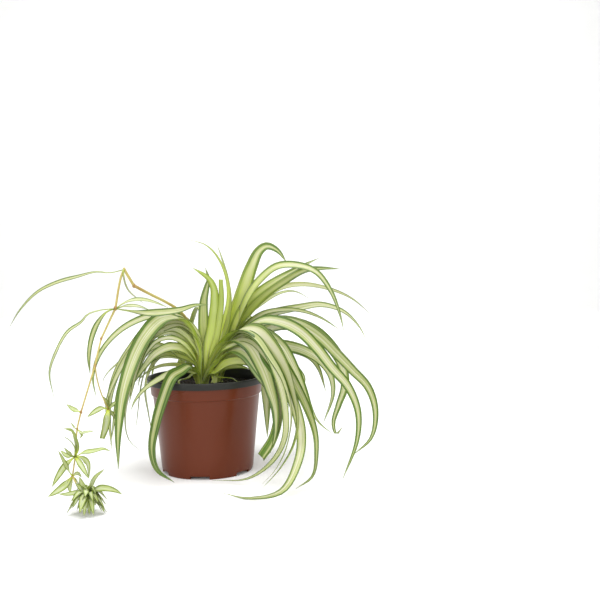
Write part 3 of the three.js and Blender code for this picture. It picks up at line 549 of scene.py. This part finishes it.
def leaf_skin(name, pale, light, green, edge, lime, underside_green_and_painted_light):
    """A living leaf. Across it, a cream stripe gives way through light green to a green margin, which ends
    in a thin darker line. The stripe's edge wanders with long streaks and draws in at the tip, and fine
    veins run lengthwise. The underside is olive: its own green, lightened as painted light for the light
    that shines through the leaf. The base is lime as far up as the leaf is fresh."""
    skin = Skin(name, 0.4)
    uv = skin.node("ShaderNodeUVMap", {}, uv_map="UVMap").outputs[0]
    u, v, _ = skin.node("ShaderNodeSeparateXYZ", {0: uv}).outputs
    tone = skin.attribute("tone")
    apart = skin.times(tone, 40)
    slow = skin.times(v, 1.6)
    x = skin.maths("ABSOLUTE", skin.minus(skin.times(u, 2), 1))
    streak = skin.noise(skin.stretched(skin.times(u, 7), slow, apart), 1, 3, 0.6)
    vein = skin.noise(skin.stretched(skin.times(u, 11), slow, apart), 1, 2)
    narrow = skin.times(skin.rise(v, 0.6, 1.0), -0.4)
    wander = skin.times(skin.minus(streak, 0.5), 0.5)
    border = skin.plus(skin.plus(skin.attribute("stripe"), narrow), wander)
    beyond = skin.minus(x, border)
    margin = skin.rise(beyond, -0.04, 0.06)
    flank = skin.times(skin.rise(beyond, -0.45, -0.05), 0.8)
    lines = skin.times(skin.rise(vein, 0.5, 0.6), 0.85)
    surface = skin.mix(skin.maths("MAXIMUM", flank, lines), tint(pale), tint(light))
    gaps = skin.times(skin.rise(vein, 0.5, 0.34), 0.35)
    surface = skin.mix(skin.minus(margin, skin.times(margin, gaps)), surface, tint(green))
    # painted light: the underside's olive is the leaf's own green, lightened to stand for light shining
    # through the leaf
    surface = skin.mix(skin.times(skin.attribute("under"), 0.75), surface, tint(underside_green_and_painted_light))
    fresh = skin.mix(skin.times(margin, 0.6), tint(lime), tint(green))
    fresh = skin.mix(skin.times(lines, 0.5), fresh, tint(pale))
    reach = skin.attribute("fresh")
    near = skin.minus(1.0, skin.rise(v, skin.times(reach, 0.3), reach))
    surface = skin.mix(skin.times(near, 0.9), surface, fresh)
    surface = skin.mix(skin.times(skin.rise(x, 0.84, 0.98), 0.7), surface, tint(edge))
    shade = skin.mix(tone, tint("#dcdec8"), tint("#ffffff"))
    skin.colour(skin.mix(1.0, surface, shade, "MULTIPLY"))
    skin.roughness(skin.plus(skin.times(streak, 0.14), 0.32))
    skin.relief(vein, 0.00025, 0.6)
    skin.shader.inputs["Specular IOR Level"].default_value = 0.35
    skin.glow(skin.plus(skin.times(near, 0.5), 0.15))
    skin.shader.inputs["Subsurface Radius"].default_value = (0.9, 1.0, 0.3)
    skin.shader.inputs["Subsurface Scale"].default_value = 0.003
    return skin


LEFT_LEAVES = [
    # falling on the left, the near ones first
    leaf(17, 66, (-6, -9, 124), (-19, -16, 154), (-38, -26, 158), (-56, -38, 140), (-72, -52, 99),
         (-79, -57, 53), (-80, -57, 15), level=0.27, stripe=0.6),
    leaf(13, 60, (-13, -20, 109), (-20, -40, 107), (-27, -59, 103), (-34, -66, 85), (-41, -70, 61),
         (-45, -70, 36), (-41, -66, 16), (-26, -60, 2), stripe=0.36, lime=30),
    leaf(9, 62, (-7, -2, 125), (-19, 0, 152), (-38, 2, 160), (-61, 2, 157), (-87, -2, 144),
         (-107, -6, 121), (-114, -9, 97), (-111, -10, 76)),
    leaf(11, 60, (-5, -5, 123), (-17, -5, 149), (-37, -8, 156), (-55, -12, 148), (-72, -16, 128),
         (-87, -20, 103), (-95, -22, 74), (-94, -22, 25)),
    leaf(9, 60, (-5, -7, 119), (-18, -10, 142), (-37, -14, 148), (-55, -20, 141), (-72, -26, 124),
         (-86, -30, 100), (-95, -32, 76), (-96, -32, 53)),
    leaf(9, 62, (-3, -8, 121), (-8, -11, 142), (-23, -14, 154), (-40, -22, 152), (-54, -32, 135),
         (-64, -40, 106), (-71, -44, 75)),
    leaf(7, 62, (-2, -9, 122), (-8, -12, 138), (-22, -14, 150), (-36, -20, 148), (-50, -28, 138),
         (-60, -36, 119), (-66, -40, 94)),
    leaf(8, 56, (-6, -10, 118), (-16, -14, 137), (-30, -18, 146), (-45, -26, 142), (-55, -32, 128),
         (-62, -36, 108)),
    leaf(7, 45, (-8, 0, 114), (-21, 4, 133), (-36, 6, 140), (-52, 8, 136), (-65, 8, 121), (-72, 6, 100)),
    leaf(7, 56, (-8, -12, 112), (-18, -18, 130), (-32, -24, 138), (-45, -30, 135), (-55, -34, 123),
         (-62, -38, 105)),
    leaf(11, 58, (-9, -12, 111), (-18, -18, 125), (-32, -26, 129), (-46, -33, 123), (-57, -38, 110),
         (-69, -42, 92)),
    leaf(7, 45, (-9, -11, 108), (-21, -14, 117), (-38, -18, 121), (-52, -20, 115), (-62, -20, 103),
         (-67, -20, 87)),
    leaf(6, 40, (-12, -8, 103), (-26, -6, 108), (-43, -6, 108), (-57, -8, 103), (-69, -10, 93)),
    leaf(8, 40, (-12, -24, 103), (-25, -34, 106), (-39, -48, 101), (-53, -56, 92), (-62, -60, 81),
         (-66, -60, 72), lime=40),
    leaf(7, 62, (-11, 2, 108), (-26, 10, 118), (-44, 16, 118), (-59, 18, 104), (-66, 18, 81),
         (-63, 16, 54), (-59, 14, 31)),
    leaf(7, 40, (-10, -2, 106), (-35, 0, 116), (-59, 2, 111), (-77, 2, 85), (-84, 0, 56), (-81, -2, 32),
         (-68, -2, 18)),
    leaf(6, 40, (-7, 4, 126), (-20, 8, 150), (-40, 12, 156), (-59, 14, 148), (-75, 16, 130),
         (-91, 16, 111), (-105, 16, 98), (-110, 16, 89), (-107, 16, 79)),
    # upright
    leaf(13, -82, (0, -6, 127), (-1, -6, 152), (0, -6, 174), (3, -6, 187), (5, -6, 195), (2, -6, 207),
         stripe=0.62, lime=95),
    leaf(13, 84, (4, -9, 128), (9, -10, 152), (11, -10, 174), (10, -9, 187), (5, -8, 196), (-11, -5, 207),
         stripe=0.68, lime=95),
    leaf(4, 80, (12, -10, 129), (20, -10, 154), (25, -10, 177), (23, -10, 199), (14, -10, 219),
         (3, -11, 230), (-12, -12, 235)),
    leaf(8, 85, (10, -10, 129), (15, -12, 152), (18, -13, 174), (18, -13, 195), kept=0.8, lime=95),
    # falling on the right and in front
    leaf(17, -60, (22, -12, 134), (39, -24, 146), (55, -36, 145), (69, -50, 133), (83, -66, 112),
         (91, -80, 87), (94, -88, 65), (89, -92, 43), (77, -93, 23), (60, -92, 4), level=0.2),
    leaf(18, -58, (18, -12, 129), (34, -22, 137), (47, -32, 132), (60, -46, 112), (68, -56, 91),
         (73, -64, 70), (72, -68, 47), (67, -68, 31), level=0.22),
    leaf(20, -66, (28, -16, 126), (43, -28, 125), (58, -44, 109), (73, -58, 88), (76, -64, 64),
         (70, -66, 43), (59, -66, 26), kept=0.62, stripe=0.55),
    leaf(12, -58, (26, -8, 129), (47, -20, 139), (63, -34, 127), (81, -52, 98), (93, -68, 70),
         (97, -82, 50), (94, -96, 31), (79, -110, 7), (50, -115, 2), (24, -98, 2)),
    leaf(12, -56, (26, -8, 131), (49, -24, 143), (69, -40, 128), (89, -58, 101), (103, -70, 74),
         (110, -80, 53), (111, -86, 38), (107, -88, 14), (91, -88, 2)),
    leaf(8, -45, (24, -16, 130), (43, -30, 141), (60, -46, 132), (75, -64, 104), (82, -74, 73),
         (81, -76, 47), (69, -70, 24), (45, -64, 6), (10, -59, 3)),
    leaf(7, -45, (22, -14, 130), (37, -26, 143), (53, -40, 140), (68, -56, 122), (81, -70, 101),
         (88, -82, 73), (83, -84, 41), (72, -80, 18), (58, -76, 2)),
    leaf(7, -40, (19, -12, 126), (34, -22, 135), (50, -34, 133), (64, -48, 119), (75, -60, 103),
         (85, -68, 84)),
    leaf(9, -60, (14, -12, 122), (25, -18, 128), (37, -24, 131), (46, -30, 124), (52, -34, 114)),
    # a low fan over the right of the pot
    leaf(11, -66, (9, -8, 109), (21, -10, 121), (33, -12, 124), (44, -16, 120), (52, -20, 109)),
    leaf(11, -62, (10, -12, 102), (22, -18, 111), (36, -26, 114), (48, -34, 111), (57, -40, 104)),
    leaf(12, -64, (9, -6, 105), (21, -6, 116), (35, -8, 118), (46, -10, 113), (53, -12, 105)),
    leaf(9, -56, (8, -10, 100), (21, -12, 106), (34, -14, 107), (46, -18, 105)),
    # short curled leaves over the soil
    leaf(6, 10, (14, -16, 97), (28, -20, 96), (37, -22, 90)),
    leaf(7, -10, (-16, -20, 97), (-24, -26, 95), (-21, -34, 90)),
]
LEFT_FILL = [
    *sector(LEFT_CROWN, 11, 3, (150, 212), reach=(72, 98), peak=(118, 150), tip=(30, 84),
            width=(7, 11), turn=(10, 50)),
]

# the last colour, the underside's olive, is partly painted light for light shining through the leaf
grown_leaf = leaf_skin("leaf", "#cbcaae", "#a1ac66", "#4a6a26", "#1c2c08", "#bccb56", "#94a63c")
left_leaves = dress(LEFT_LEAVES + LEFT_FILL, 4)
left_blades = [rosette_blade(LEFT_CROWN, one) for one in left_leaves]
piece("leaves_left", [crown_stem(LEFT_CROWN), *left_blades], [grown_leaf], "leaf", "rosette_left")


# ---- Right rosette -----------------------------------------------------------------------------------
# The right and back shoot, of the same age and build, with the longest leaves. Its crown stem stands in the
# compost beside and behind the left one's, and its back leaves hang over the lip.
RIGHT_CROWN = (9, 20)

RIGHT_LEAVES = [
    # upright and high
    leaf(6, -75, (14, 14, 125), (22, 13, 150), (25, 13, 173), (23, 12, 194), (18, 12, 214), (12, 12, 232)),
    leaf(20, -72, (22, 14, 136), (32, 14, 160), (39, 14, 181), (48, 14, 207), (56, 14, 223), (64, 14, 228),
         (75, 14, 223), (84, 14, 211), stripe=0.62),
    leaf(11, -58, (33, 10, 152), (43, 8, 175), (55, 8, 192), (74, 6, 207), (95, 6, 208), (114, 4, 201),
         (129, 4, 181), (138, 2, 157), (142, 0, 139), stripe=0.6),
    leaf(14, -60, (28, 16, 141), (45, 16, 163), (62, 18, 179), (82, 20, 192), (102, 22, 202),
         (122, 26, 204), (141, 28, 203)),
    leaf(8, -52, (34, 22, 146), (53, 26, 168), (74, 32, 183), (100, 40, 187), (130, 48, 181),
         (154, 56, 170), (174, 60, 153)),
    leaf(12, -62, (31, 10, 150), (43, 11, 170), (58, 12, 183), (77, 14, 195), (98, 17, 206),
         (118, 20, 215)),
    leaf(6, -45, (39, 26, 153), (59, 32, 169), (76, 40, 178), (92, 50, 179), (109, 56, 170)),
    # falling on the right
    leaf(7, -55, (37, 20, 141), (57, 22, 157), (78, 26, 161), (100, 30, 159), (120, 32, 151),
         (141, 32, 137)),
    leaf(11, -50, (40, 26, 144), (65, 34, 156), (97, 44, 162), (121, 54, 164), (146, 60, 155),
         (163, 62, 137), (170, 62, 122)),
    leaf(13, -66, (35, 6, 137), (58, 0, 152), (80, -6, 150), (98, -12, 141), (114, -20, 125),
         (128, -28, 107), (144, -34, 88), (153, -40, 64), (151, -46, 36), (136, -58, 2)),
    leaf(13, -64, (38, 16, 139), (66, 16, 150), (92, 14, 148), (115, 14, 135), (135, 12, 115),
         (151, 10, 98), (167, 8, 80), (174, 6, 55), (169, 2, 29), (149, -4, 12)),
    leaf(14, -62, (34, 18, 120), (57, 22, 125), (80, 26, 123), (100, 32, 117), (118, 36, 105),
         (129, 40, 88), (131, 40, 68), (120, 38, 36)),
    leaf(17, -68, (44, 30, 129), (75, 42, 144), (100, 48, 141), (121, 54, 128), (141, 60, 100),
         (145, 60, 75), (138, 60, 53), (132, 59, 33), (135, 57, 21), (142, 53, 30)),
    leaf(12, -60, (36, 22, 119), (61, 30, 122), (86, 38, 118), (106, 44, 109), (116, 46, 96),
         (124, 46, 70)),
    leaf(18, -78, (29, 24, 117), (44, 31, 126), (56, 39, 105), (59, 41, 71), (60, 41, 22)),
    leaf(12, -56, (35, 10, 131), (56, 0, 140), (77, -12, 129), (92, -24, 104), (104, -32, 73),
         (112, -36, 39)),
    leaf(8, -50, (34, 14, 129), (60, 6, 141), (84, -4, 120), (100, -10, 83), (113, -14, 51),
         (128, -14, 37)),
    leaf(17, -62, (35, 8, 125), (58, -4, 131), (76, -10, 122), (91, -12, 105), (100, -12, 94),
         (100, -12, 85)),
    leaf(12, -60, (29, 26, 111), (43, 38, 117), (66, 54, 113), (81, 62, 90), (83, 64, 49)),
    # low
    leaf(11, -64, (15, 14, 110), (26, 10, 122), (38, 8, 126), (48, 6, 121), (54, 4, 111)),
    leaf(10, -62, (15, 14, 102), (24, 11, 116), (34, 9, 121), (45, 7, 119), (52, 5, 111)),
    leaf(11, -64, (19, 12, 106), (32, 8, 114), (44, 4, 113), (52, 0, 105)),
]
RIGHT_FILL = [
    *sector(RIGHT_CROWN, 23, 6, (30, 150), reach=(86, 124), peak=(138, 166), tip=(24, 90),
            width=(9, 14), turn=(-25, 25)),
    *sector(RIGHT_CROWN, 37, 4, (38, 148), reach=(62, 88), peak=(114, 134), tip=(20, 80),
            width=(8, 12), turn=(-20, 20)),
]

right_leaves = dress(RIGHT_LEAVES + RIGHT_FILL, 6)
right_blades = [rosette_blade(RIGHT_CROWN, one) for one in right_leaves]
piece("leaves_right", [crown_stem(RIGHT_CROWN), *right_blades], [grown_leaf], "leaf", "rosette_right")


# ---- Runner ------------------------------------------------------------------------------------------
# The old flower stem that the plant sends out, round and wiry, ripened to straw yellow. It rises among the
# left leaves, bends sharply twice and hangs down at the left. It swells to a brown knuckle wherever leaves,
# buds or a side shoot grow from it.
RUNNER_FOOT = (-4, -6, 79)
ELBOW = (-64, -40, 191)
KINK = (-72, -45, 207)
LEAF_JOINT = (-79, -56, 170)
BUD_JOINT = (-91, -66, 142)
SHOOT_JOINT = (-95, -76, 118)
BRACT_JOINT = (-104, -96, 78)
CURL_JOINT = (-106, -103, 64)
UPPER_PLANTLET = (-106, -112, 41)
SMALL_PLANTLET = (-107, -119, 25)
LOWER_PLANTLET = (-86, -148, 17)
SIDE_PLANTLET = (-91, -44, 71)
RUNNER_RADIUS = 1.4
SHOOT_RADIUS = 0.65
KNUCKLE_RADIUS = 1.75
SMALL_KNUCKLE_RADIUS = 1.3
END_RADIUS = 1.1
KNUCKLE_LENGTH = 1.35  # half a knuckle's length, as a share of its radius
SWELL_RUN = 0.12  # share of its length over which a stem swells at each end
SWELLING = 0.12  # and by how much of its radius
ROUND = 14  # points round the stem
ASKEW = (0.35, 0.9, 0.25)  # a direction that no stem runs in


def stem(path, start_radius, end_radius, rows):
    """A tube along the curve through its points: centre + r (a cos t + b sin t), with a and b at right
    angles to the run, and r going evenly from start to end with a slight swelling at both ends."""
    centre, run = through(path, rows)
    across = unit(np.cross(run, ASKEW))
    up = np.cross(across, run)
    angle = np.linspace(0, 2 * np.pi, ROUND, endpoint=False)
    s = np.linspace(0, 1, rows)[:, None]
    near_end = 1 - smooth(np.minimum(s, 1 - s) / SWELL_RUN)
    r = (start_radius + (end_radius - start_radius) * s) * (1 + SWELLING * near_end)
    turned = across[:, None] * np.cos(angle)[:, None] + up[:, None] * np.sin(angle)[:, None]
    at = centre[:, None] + r[..., None] * turned
    return {"at": at, "ripe": near_end * 0.5 + 0 * angle}


def knuckle(joint, radius, ripe=1.0):
    """A swollen joint: an upright egg of 9 rings, (radius cos t, KNUCKLE_LENGTH radius sin t) turned about
    its axis."""
    axis = np.array([0.0, 0.0, 1.0])
    across = unit(np.cross(axis, ASKEW))
    up = np.cross(across, axis)
    tilt = np.linspace(-0.97, 0.97, 9)[:, None] * np.pi / 2
    angle = np.linspace(0, 2 * np.pi, ROUND, endpoint=False)
    ring = radius * np.cos(tilt)
    at = (np.asarray(joint, float) + axis * (KNUCKLE_LENGTH * radius * np.sin(tilt))[..., None]
          + across * (ring * np.cos(angle))[..., None] + up * (ring * np.sin(angle))[..., None])
    return {"at": at, "ripe": np.full(at.shape[:2], ripe)}


def stem_skin():
    """A ripened flower stem: straw yellow with fine lengthwise fibres, browner at the knuckles."""
    skin = Skin("runner_stem", 0.42)
    where = skin.place()
    cloud = skin.noise(where, 60, 3)
    fibre = skin.noise(where, 1500, 2)
    straw = skin.mix(skin.rise(cloud, 0.35, 0.7), tint("#b8ab60"), tint("#ab984e"))
    straw = skin.mix(skin.times(skin.rise(fibre, 0.5, 0.7), 0.25), straw, tint("#94803a"))
    ripe = skin.times(skin.attribute("ripe"), skin.rise(cloud, 0.1, 0.55))
    skin.colour(skin.mix(skin.times(ripe, 0.8), straw, tint("#96683a")))
    skin.relief(fibre, 0.00012, 0.6)
    return skin


RISE = [(-7, -2, 110), (-11, 2, 131), (-18, 0, 153), (-26, -10, 165), (-37, -22, 174), (-50, -31, 182)]
ENDS = (CURL_JOINT, UPPER_PLANTLET, SMALL_PLANTLET, LOWER_PLANTLET, SIDE_PLANTLET)

# The runner from joint to joint, each length a little thinner than the one above it, then the side shoot.
stems = [
    stem([RUNNER_FOOT, *RISE, ELBOW], RUNNER_RADIUS, RUNNER_RADIUS, 70),
    stem([ELBOW, KINK], RUNNER_RADIUS, RUNNER_RADIUS, 12),
    stem([KINK, (-75, -47, 199), LEAF_JOINT], 1.1, 1.05, 24),
    stem([LEAF_JOINT, BUD_JOINT], 1.0, 0.95, 18),
    stem([BUD_JOINT, SHOOT_JOINT], 0.9, 0.85, 16),
    stem([SHOOT_JOINT, BRACT_JOINT], 0.8, 0.75, 24),
    stem([BRACT_JOINT, CURL_JOINT, UPPER_PLANTLET], 0.75, 0.7, 24),
    stem([UPPER_PLANTLET, SMALL_PLANTLET], 0.7, 0.7, 12),
    stem([SMALL_PLANTLET, (-98, -133, 19), LOWER_PLANTLET], 0.7, 0.7, 20),
    stem([SHOOT_JOINT, (-95, -70, 105), (-94, -58, 88), SIDE_PLANTLET], SHOOT_RADIUS, SHOOT_RADIUS, 34),
]
knuckles = [
    *[knuckle(joint, KNUCKLE_RADIUS) for joint in (ELBOW, LEAF_JOINT)],
    knuckle(KINK, RUNNER_RADIUS, ripe=0.1),
    *[knuckle(joint, SMALL_KNUCKLE_RADIUS) for joint in (BUD_JOINT, SHOOT_JOINT, BRACT_JOINT)],
    *[knuckle(joint, END_RADIUS) for joint in ENDS],
]
straw = stem_skin()
piece("runner_stem", stems + knuckles, [straw], "runner_stem", "runner")


# ---- Leaves on the runner ----------------------------------------------------------------------------
# Narrow leaves grow from the runner's bend and from the knuckle below it, variegated as the rosettes' are.
# A lower knuckle has one short leaf, and another has two small curled ones.
YOUNG_KEEL = 0.5
YOUNG_BASE_SHARE = 0.45
YOUNG_ROWS = 30  # sections along a leaf of the runner


def tuft(name, centre, leaves, seed, skin, slot, *stands_for):
    """Leaves that grow from one point of the runner, as one piece."""
    paths = [[centre, *one["path"]] for one in leaves]
    blades = [blade(path, one, YOUNG_ROWS, YOUNG_BASE_SHARE, YOUNG_KEEL)
              for path, one in zip(paths, dress(leaves, seed))]
    return piece(name, blades, [skin], slot, *stands_for)


KINK_LEAVES = [
    leaf(5, 50, (-86, -46, 204), (-98, -48, 205), (-115, -50, 201), (-134, -52, 196), (-153, -54, 187),
         (-170, -56, 170), (-181, -56, 153), stripe=0.55),
    leaf(4, 40, (-72, -50, 206), (-71, -52, 198), (-68, -48, 187), (-55, -38, 173)),
]
NODE_LEAVES = [
    leaf(4.5, 50, (-92, -60, 169), (-104, -62, 165), (-110, -63, 158), (-123, -64, 149), (-134, -66, 130),
         (-140, -68, 111), (-136, -70, 87), stripe=0.5),
    leaf(9, -60, (-54, -52, 165), (-37, -47, 165), (-19, -42, 167), (-5, -38, 171), (8, -36, 171)),
    leaf(5, -40, (-70, -56, 172), (-59, -55, 172), (-47, -53, 168)),
    leaf(5, -50, (-71, -53, 175), (-60, -48, 178), (-48, -42, 176), (-32, -36, 169)),
    leaf(6, 60, (-86, -62, 167), (-95, -66, 155), (-100, -68, 141), (-102, -70, 125), (-101, -71, 109),
         stripe=0.5),
]
BRACT_LEAVES = [
    leaf(5, 60, (-110, -98, 81), (-116, -99, 86)),
]
CURL_LEAVES = [
    leaf(3, -50, (-102, -105, 61), (-96, -106, 62), (-89, -107, 63)),
    leaf(3, -50, (-102, -103, 59), (-104, -102, 55)),
    leaf(3, 50, (-108, -105, 66), (-111, -106, 71)),
]

# the last colour, the underside's olive, is partly painted light for light shining through the leaf
young_leaf = leaf_skin("young_leaf", "#c2caa8", "#a4b25e", "#6a8030", "#2e4210", "#c4d234", "#7c8a3e")
tuft("leaves_at_kink", KINK, KINK_LEAVES, 12, grown_leaf, "leaf", "kink_leaves")
tuft("leaves_at_knuckle", LEAF_JOINT, NODE_LEAVES, 13, grown_leaf, "leaf", "node_leaves")
tuft("leaf_at_bract", BRACT_JOINT, BRACT_LEAVES, 14, young_leaf, "young_leaf", "bract_leaf")
tuft("leaves_curled", CURL_JOINT, CURL_LEAVES, 15, young_leaf, "young_leaf", "curl_leaves")


# ---- Plantlets ---------------------------------------------------------------------------------------
# Young plants at the runner's end and on its side shoot: short light green leaves with a pale middle, which
# burst from a bud on every side. The lowest is the oldest and densest, and lies on the surface.
GOLDEN_ANGLE = 2.39996  # radians between one young leaf and the next
REST_HEIGHT = 1.5  # lowest line of a leaf that lies on the surface


def burst(centre, seed, count, length, width, tilt):
    """Leaves spread about Z by the golden angle, tilted from low to high, each arched down at its tip."""
    draw = draws(seed)
    made = []
    for i in range(count):
        azimuth = GOLDEN_ANGLE * i + 0.5 * next(draw)
        rise = tilt[0] + (tilt[1] - tilt[0]) * (i + next(draw)) / count
        far = length[0] + (length[1] - length[0]) * next(draw)
        flat = math.cos(rise)
        out = far * np.array([math.cos(azimuth) * flat, math.sin(azimuth) * flat, math.sin(rise)])
        path = [centre + out * 0.5, centre + out - (0, 0, 0.6 * far)]
        path = [(x, y, max(REST_HEIGHT, z)) for x, y, z in path]
        made.append(leaf(width[0] + (width[1] - width[0]) * next(draw), 40 * (next(draw) - 0.5), *path))
    return made


UPPER_LEAVES = [
    leaf(5.5, 62, (-104, -113, 48), (-105, -113, 56), (-108, -114, 65), (-115, -114, 67)),
    leaf(4, 60, (-105, -116, 50), (-108, -117, 56), (-116, -118, 62)),
    leaf(5, 60, (-110, -117, 45), (-114, -119, 51)),
    leaf(4.5, 60, (-114, -111, 42), (-120, -109, 46)),
    leaf(5, -55, (-98, -114, 45), (-88, -116, 47), (-79, -118, 49), (-73, -118, 47)),
    leaf(6.5, 60, (-113, -118, 35), (-119, -122, 26), (-124, -124, 17)),
    leaf(6, -60, (-100, -118, 36), (-95, -122, 30), (-91, -124, 24)),
    leaf(7, -60, (-101, -107, 38), (-97, -105, 33), (-96, -105, 20)),
]
SMALL_LEAVES = [
    leaf(6, 60, (-111, -123, 35), (-117, -126, 50)),
    leaf(7, 60, (-112, -124, 19), (-119, -128, 14), (-126, -130, 10)),
    leaf(5, 60, (-109, -122, 19), (-108, -124, 11)),
    leaf(4, -50, (-103, -117, 27), (-100, -115, 23)),
    leaf(5, -50, (-105, -113, 19), (-102, -109, 12)),
]
LOWER_LEAVES = [
    leaf(8, -60, (-84, -151, 24), (-79, -154, 33)),
    leaf(4, -60, (-81, -144, 30), (-73, -142, 37)),
    leaf(6.5, -60, (-78, -150, 22), (-69, -152, 23), (-61, -153, 21), (-56, -153, 18)),
    leaf(5, 60, (-97, -143, 17), (-107, -140, 15), (-114, -139, 15)),
    leaf(5.5, 60, (-91, -146, 24), (-94, -144, 31)),
    leaf(5.5, 60, (-92, -152, 24), (-95, -155, 29)),
]
SIDE_LEAVES = [
    leaf(6, 60, (-93, -45, 78), (-96, -46, 84)),
    leaf(5, -60, (-90, -46, 79), (-90, -47, 85)),
    leaf(6, 60, (-98, -46, 72), (-104, -47, 69), (-111, -48, 64)),
    leaf(8, 60, (-92, -48, 62), (-94, -49, 52), (-97, -49, 43), kept=0.72),
    leaf(5, -60, (-87, -44, 75), (-82, -44, 79)),
    leaf(5, -60, (-88, -42, 66), (-85, -41, 60)),
]
LOWER_BURST = burst(LOWER_PLANTLET, 5, 20, length=(14, 19), width=(5, 7), tilt=(-0.6, 1.1))

tuft("plantlet_high", UPPER_PLANTLET, UPPER_LEAVES, 21, young_leaf, "young_leaf", "plantlet_upper")
tuft("plantlet_little", SMALL_PLANTLET, SMALL_LEAVES, 22, young_leaf, "young_leaf", "plantlet_small")
SHORT_LEAVES = burst(LOWER_PLANTLET, 9, 40, length=(9, 17), width=(4, 6), tilt=(-0.7, 1.3))
low_leaves = LOWER_LEAVES + LOWER_BURST + SHORT_LEAVES
tuft("plantlet_dense", LOWER_PLANTLET, low_leaves, 23, young_leaf, "young_leaf", "plantlet_lower")
tuft("plantlet_aside", SIDE_PLANTLET, SIDE_LEAVES, 24, young_leaf, "young_leaf", "plantlet_side")


# ---- Studio ------------------------------------------------------------------------------------------
# A pale sweep of floor and wall, a camera a little above the pot's rim, and large soft lights: one on each
# side, one in front, one overhead, one on the wall, and an even pale surround. Its sizes are metres.
SWEEP_RADIUS = 0.8
SWEEP_START = 2.2  # where the level floor ends, behind the plant
SWEEP_FRONT = -4
SWEEP_HALF_WIDTH = 5.0
SWEEP_HEIGHT = 5
SURROUND = 0.42  # strength of the even light from all round


def sweep():
    """The floor runs back level, turns up on a quarter circle and rises as a wall: y and z are
    SWEEP_START + SWEEP_RADIUS sin t and SWEEP_RADIUS (1 - cos t) round the bend."""
    bend = np.linspace(0, np.pi / 2, 24)
    round_y = SWEEP_START + SWEEP_RADIUS * np.sin(bend)
    round_z = SWEEP_RADIUS * (1 - np.cos(bend))
    y = np.concatenate([[SWEEP_FRONT], round_y, round_y[-1:]])
    z = np.concatenate([[0], round_z, [SWEEP_HEIGHT]])
    x = np.array([-SWEEP_HALF_WIDTH, SWEEP_HALF_WIDTH])
    rows = len(y)
    at = np.stack([np.tile(x, rows), np.repeat(y, 2), np.repeat(z, 2)], axis=-1)
    k = 2 * np.arange(rows - 1)
    faces = np.stack([k, k + 1, k + 3, k + 2], axis=-1)
    mesh = bpy.data.meshes.new("studio_floor")
    mesh.from_pydata(at.tolist(), [], faces.tolist())
    mesh.shade_smooth()
    floor = bpy.data.objects.new("studio_floor", mesh)
    bpy.context.scene.collection.objects.link(floor)
    paper = Skin("white_paper", 0.9)
    where = paper.place()
    paper.colour(paper.mix(paper.noise(where, 6, 2), tint("#f4f4f3"), tint("#fafaf9")))
    mesh.materials.append(paper.material)


def soft_light(name, place, aim, size, watts):
    """A square area light that faces the point it is aimed at."""
    light = bpy.data.lights.new(name, "AREA")
    light.size = size
    light.energy = watts
    lamp = bpy.data.objects.new(name, light)
    lamp.location = place
    toward = np.asarray(aim, float) - place
    lamp.rotation_euler = (math.acos(-toward[2] / np.linalg.norm(toward)), 0,
                           math.atan2(toward[1], toward[0]) - math.pi / 2)
    bpy.context.scene.collection.objects.link(lamp)


sweep()
soft_light("light_left", (-1.2, -1.3, 0.9), (0, 0, 0.1), 0.8, 12)
soft_light("light_right", (1.5, -0.9, 0.7), (0, 0, 0.1), 0.5, 5)
soft_light("light_over", (0.1, -0.1, 1.8), (0, 0, 0.1), 1.6, 36)
soft_light("light_front", (0.2, -1.9, 0.7), (0, 0, 0.1), 1.0, 11)
soft_light("light_wall", (0.1, 1.2, 1.2), (0.1, 2.8, 1.0), 2.0, 26)
world = bpy.data.worlds.new("surround")
world.use_nodes = True
world.node_tree.nodes["Background"].inputs["Color"].default_value = (1, 1, 1, 1)
world.node_tree.nodes["Background"].inputs["Strength"].default_value = SURROUND
bpy.context.scene.world = world
bpy.context.scene.view_settings.view_transform = "Standard"

camera = bpy.data.objects.new("camera", bpy.data.cameras.new("camera"))
camera.data.lens = 50
camera.data.sensor_width = 36
camera.location = (0.098, -0.850, 0.220)
camera.rotation_euler = (math.radians(86.8), math.radians(0.8), 0)
camera.data.clip_start = 0.01
bpy.context.scene.collection.objects.link(camera)
bpy.context.scene.camera = camera
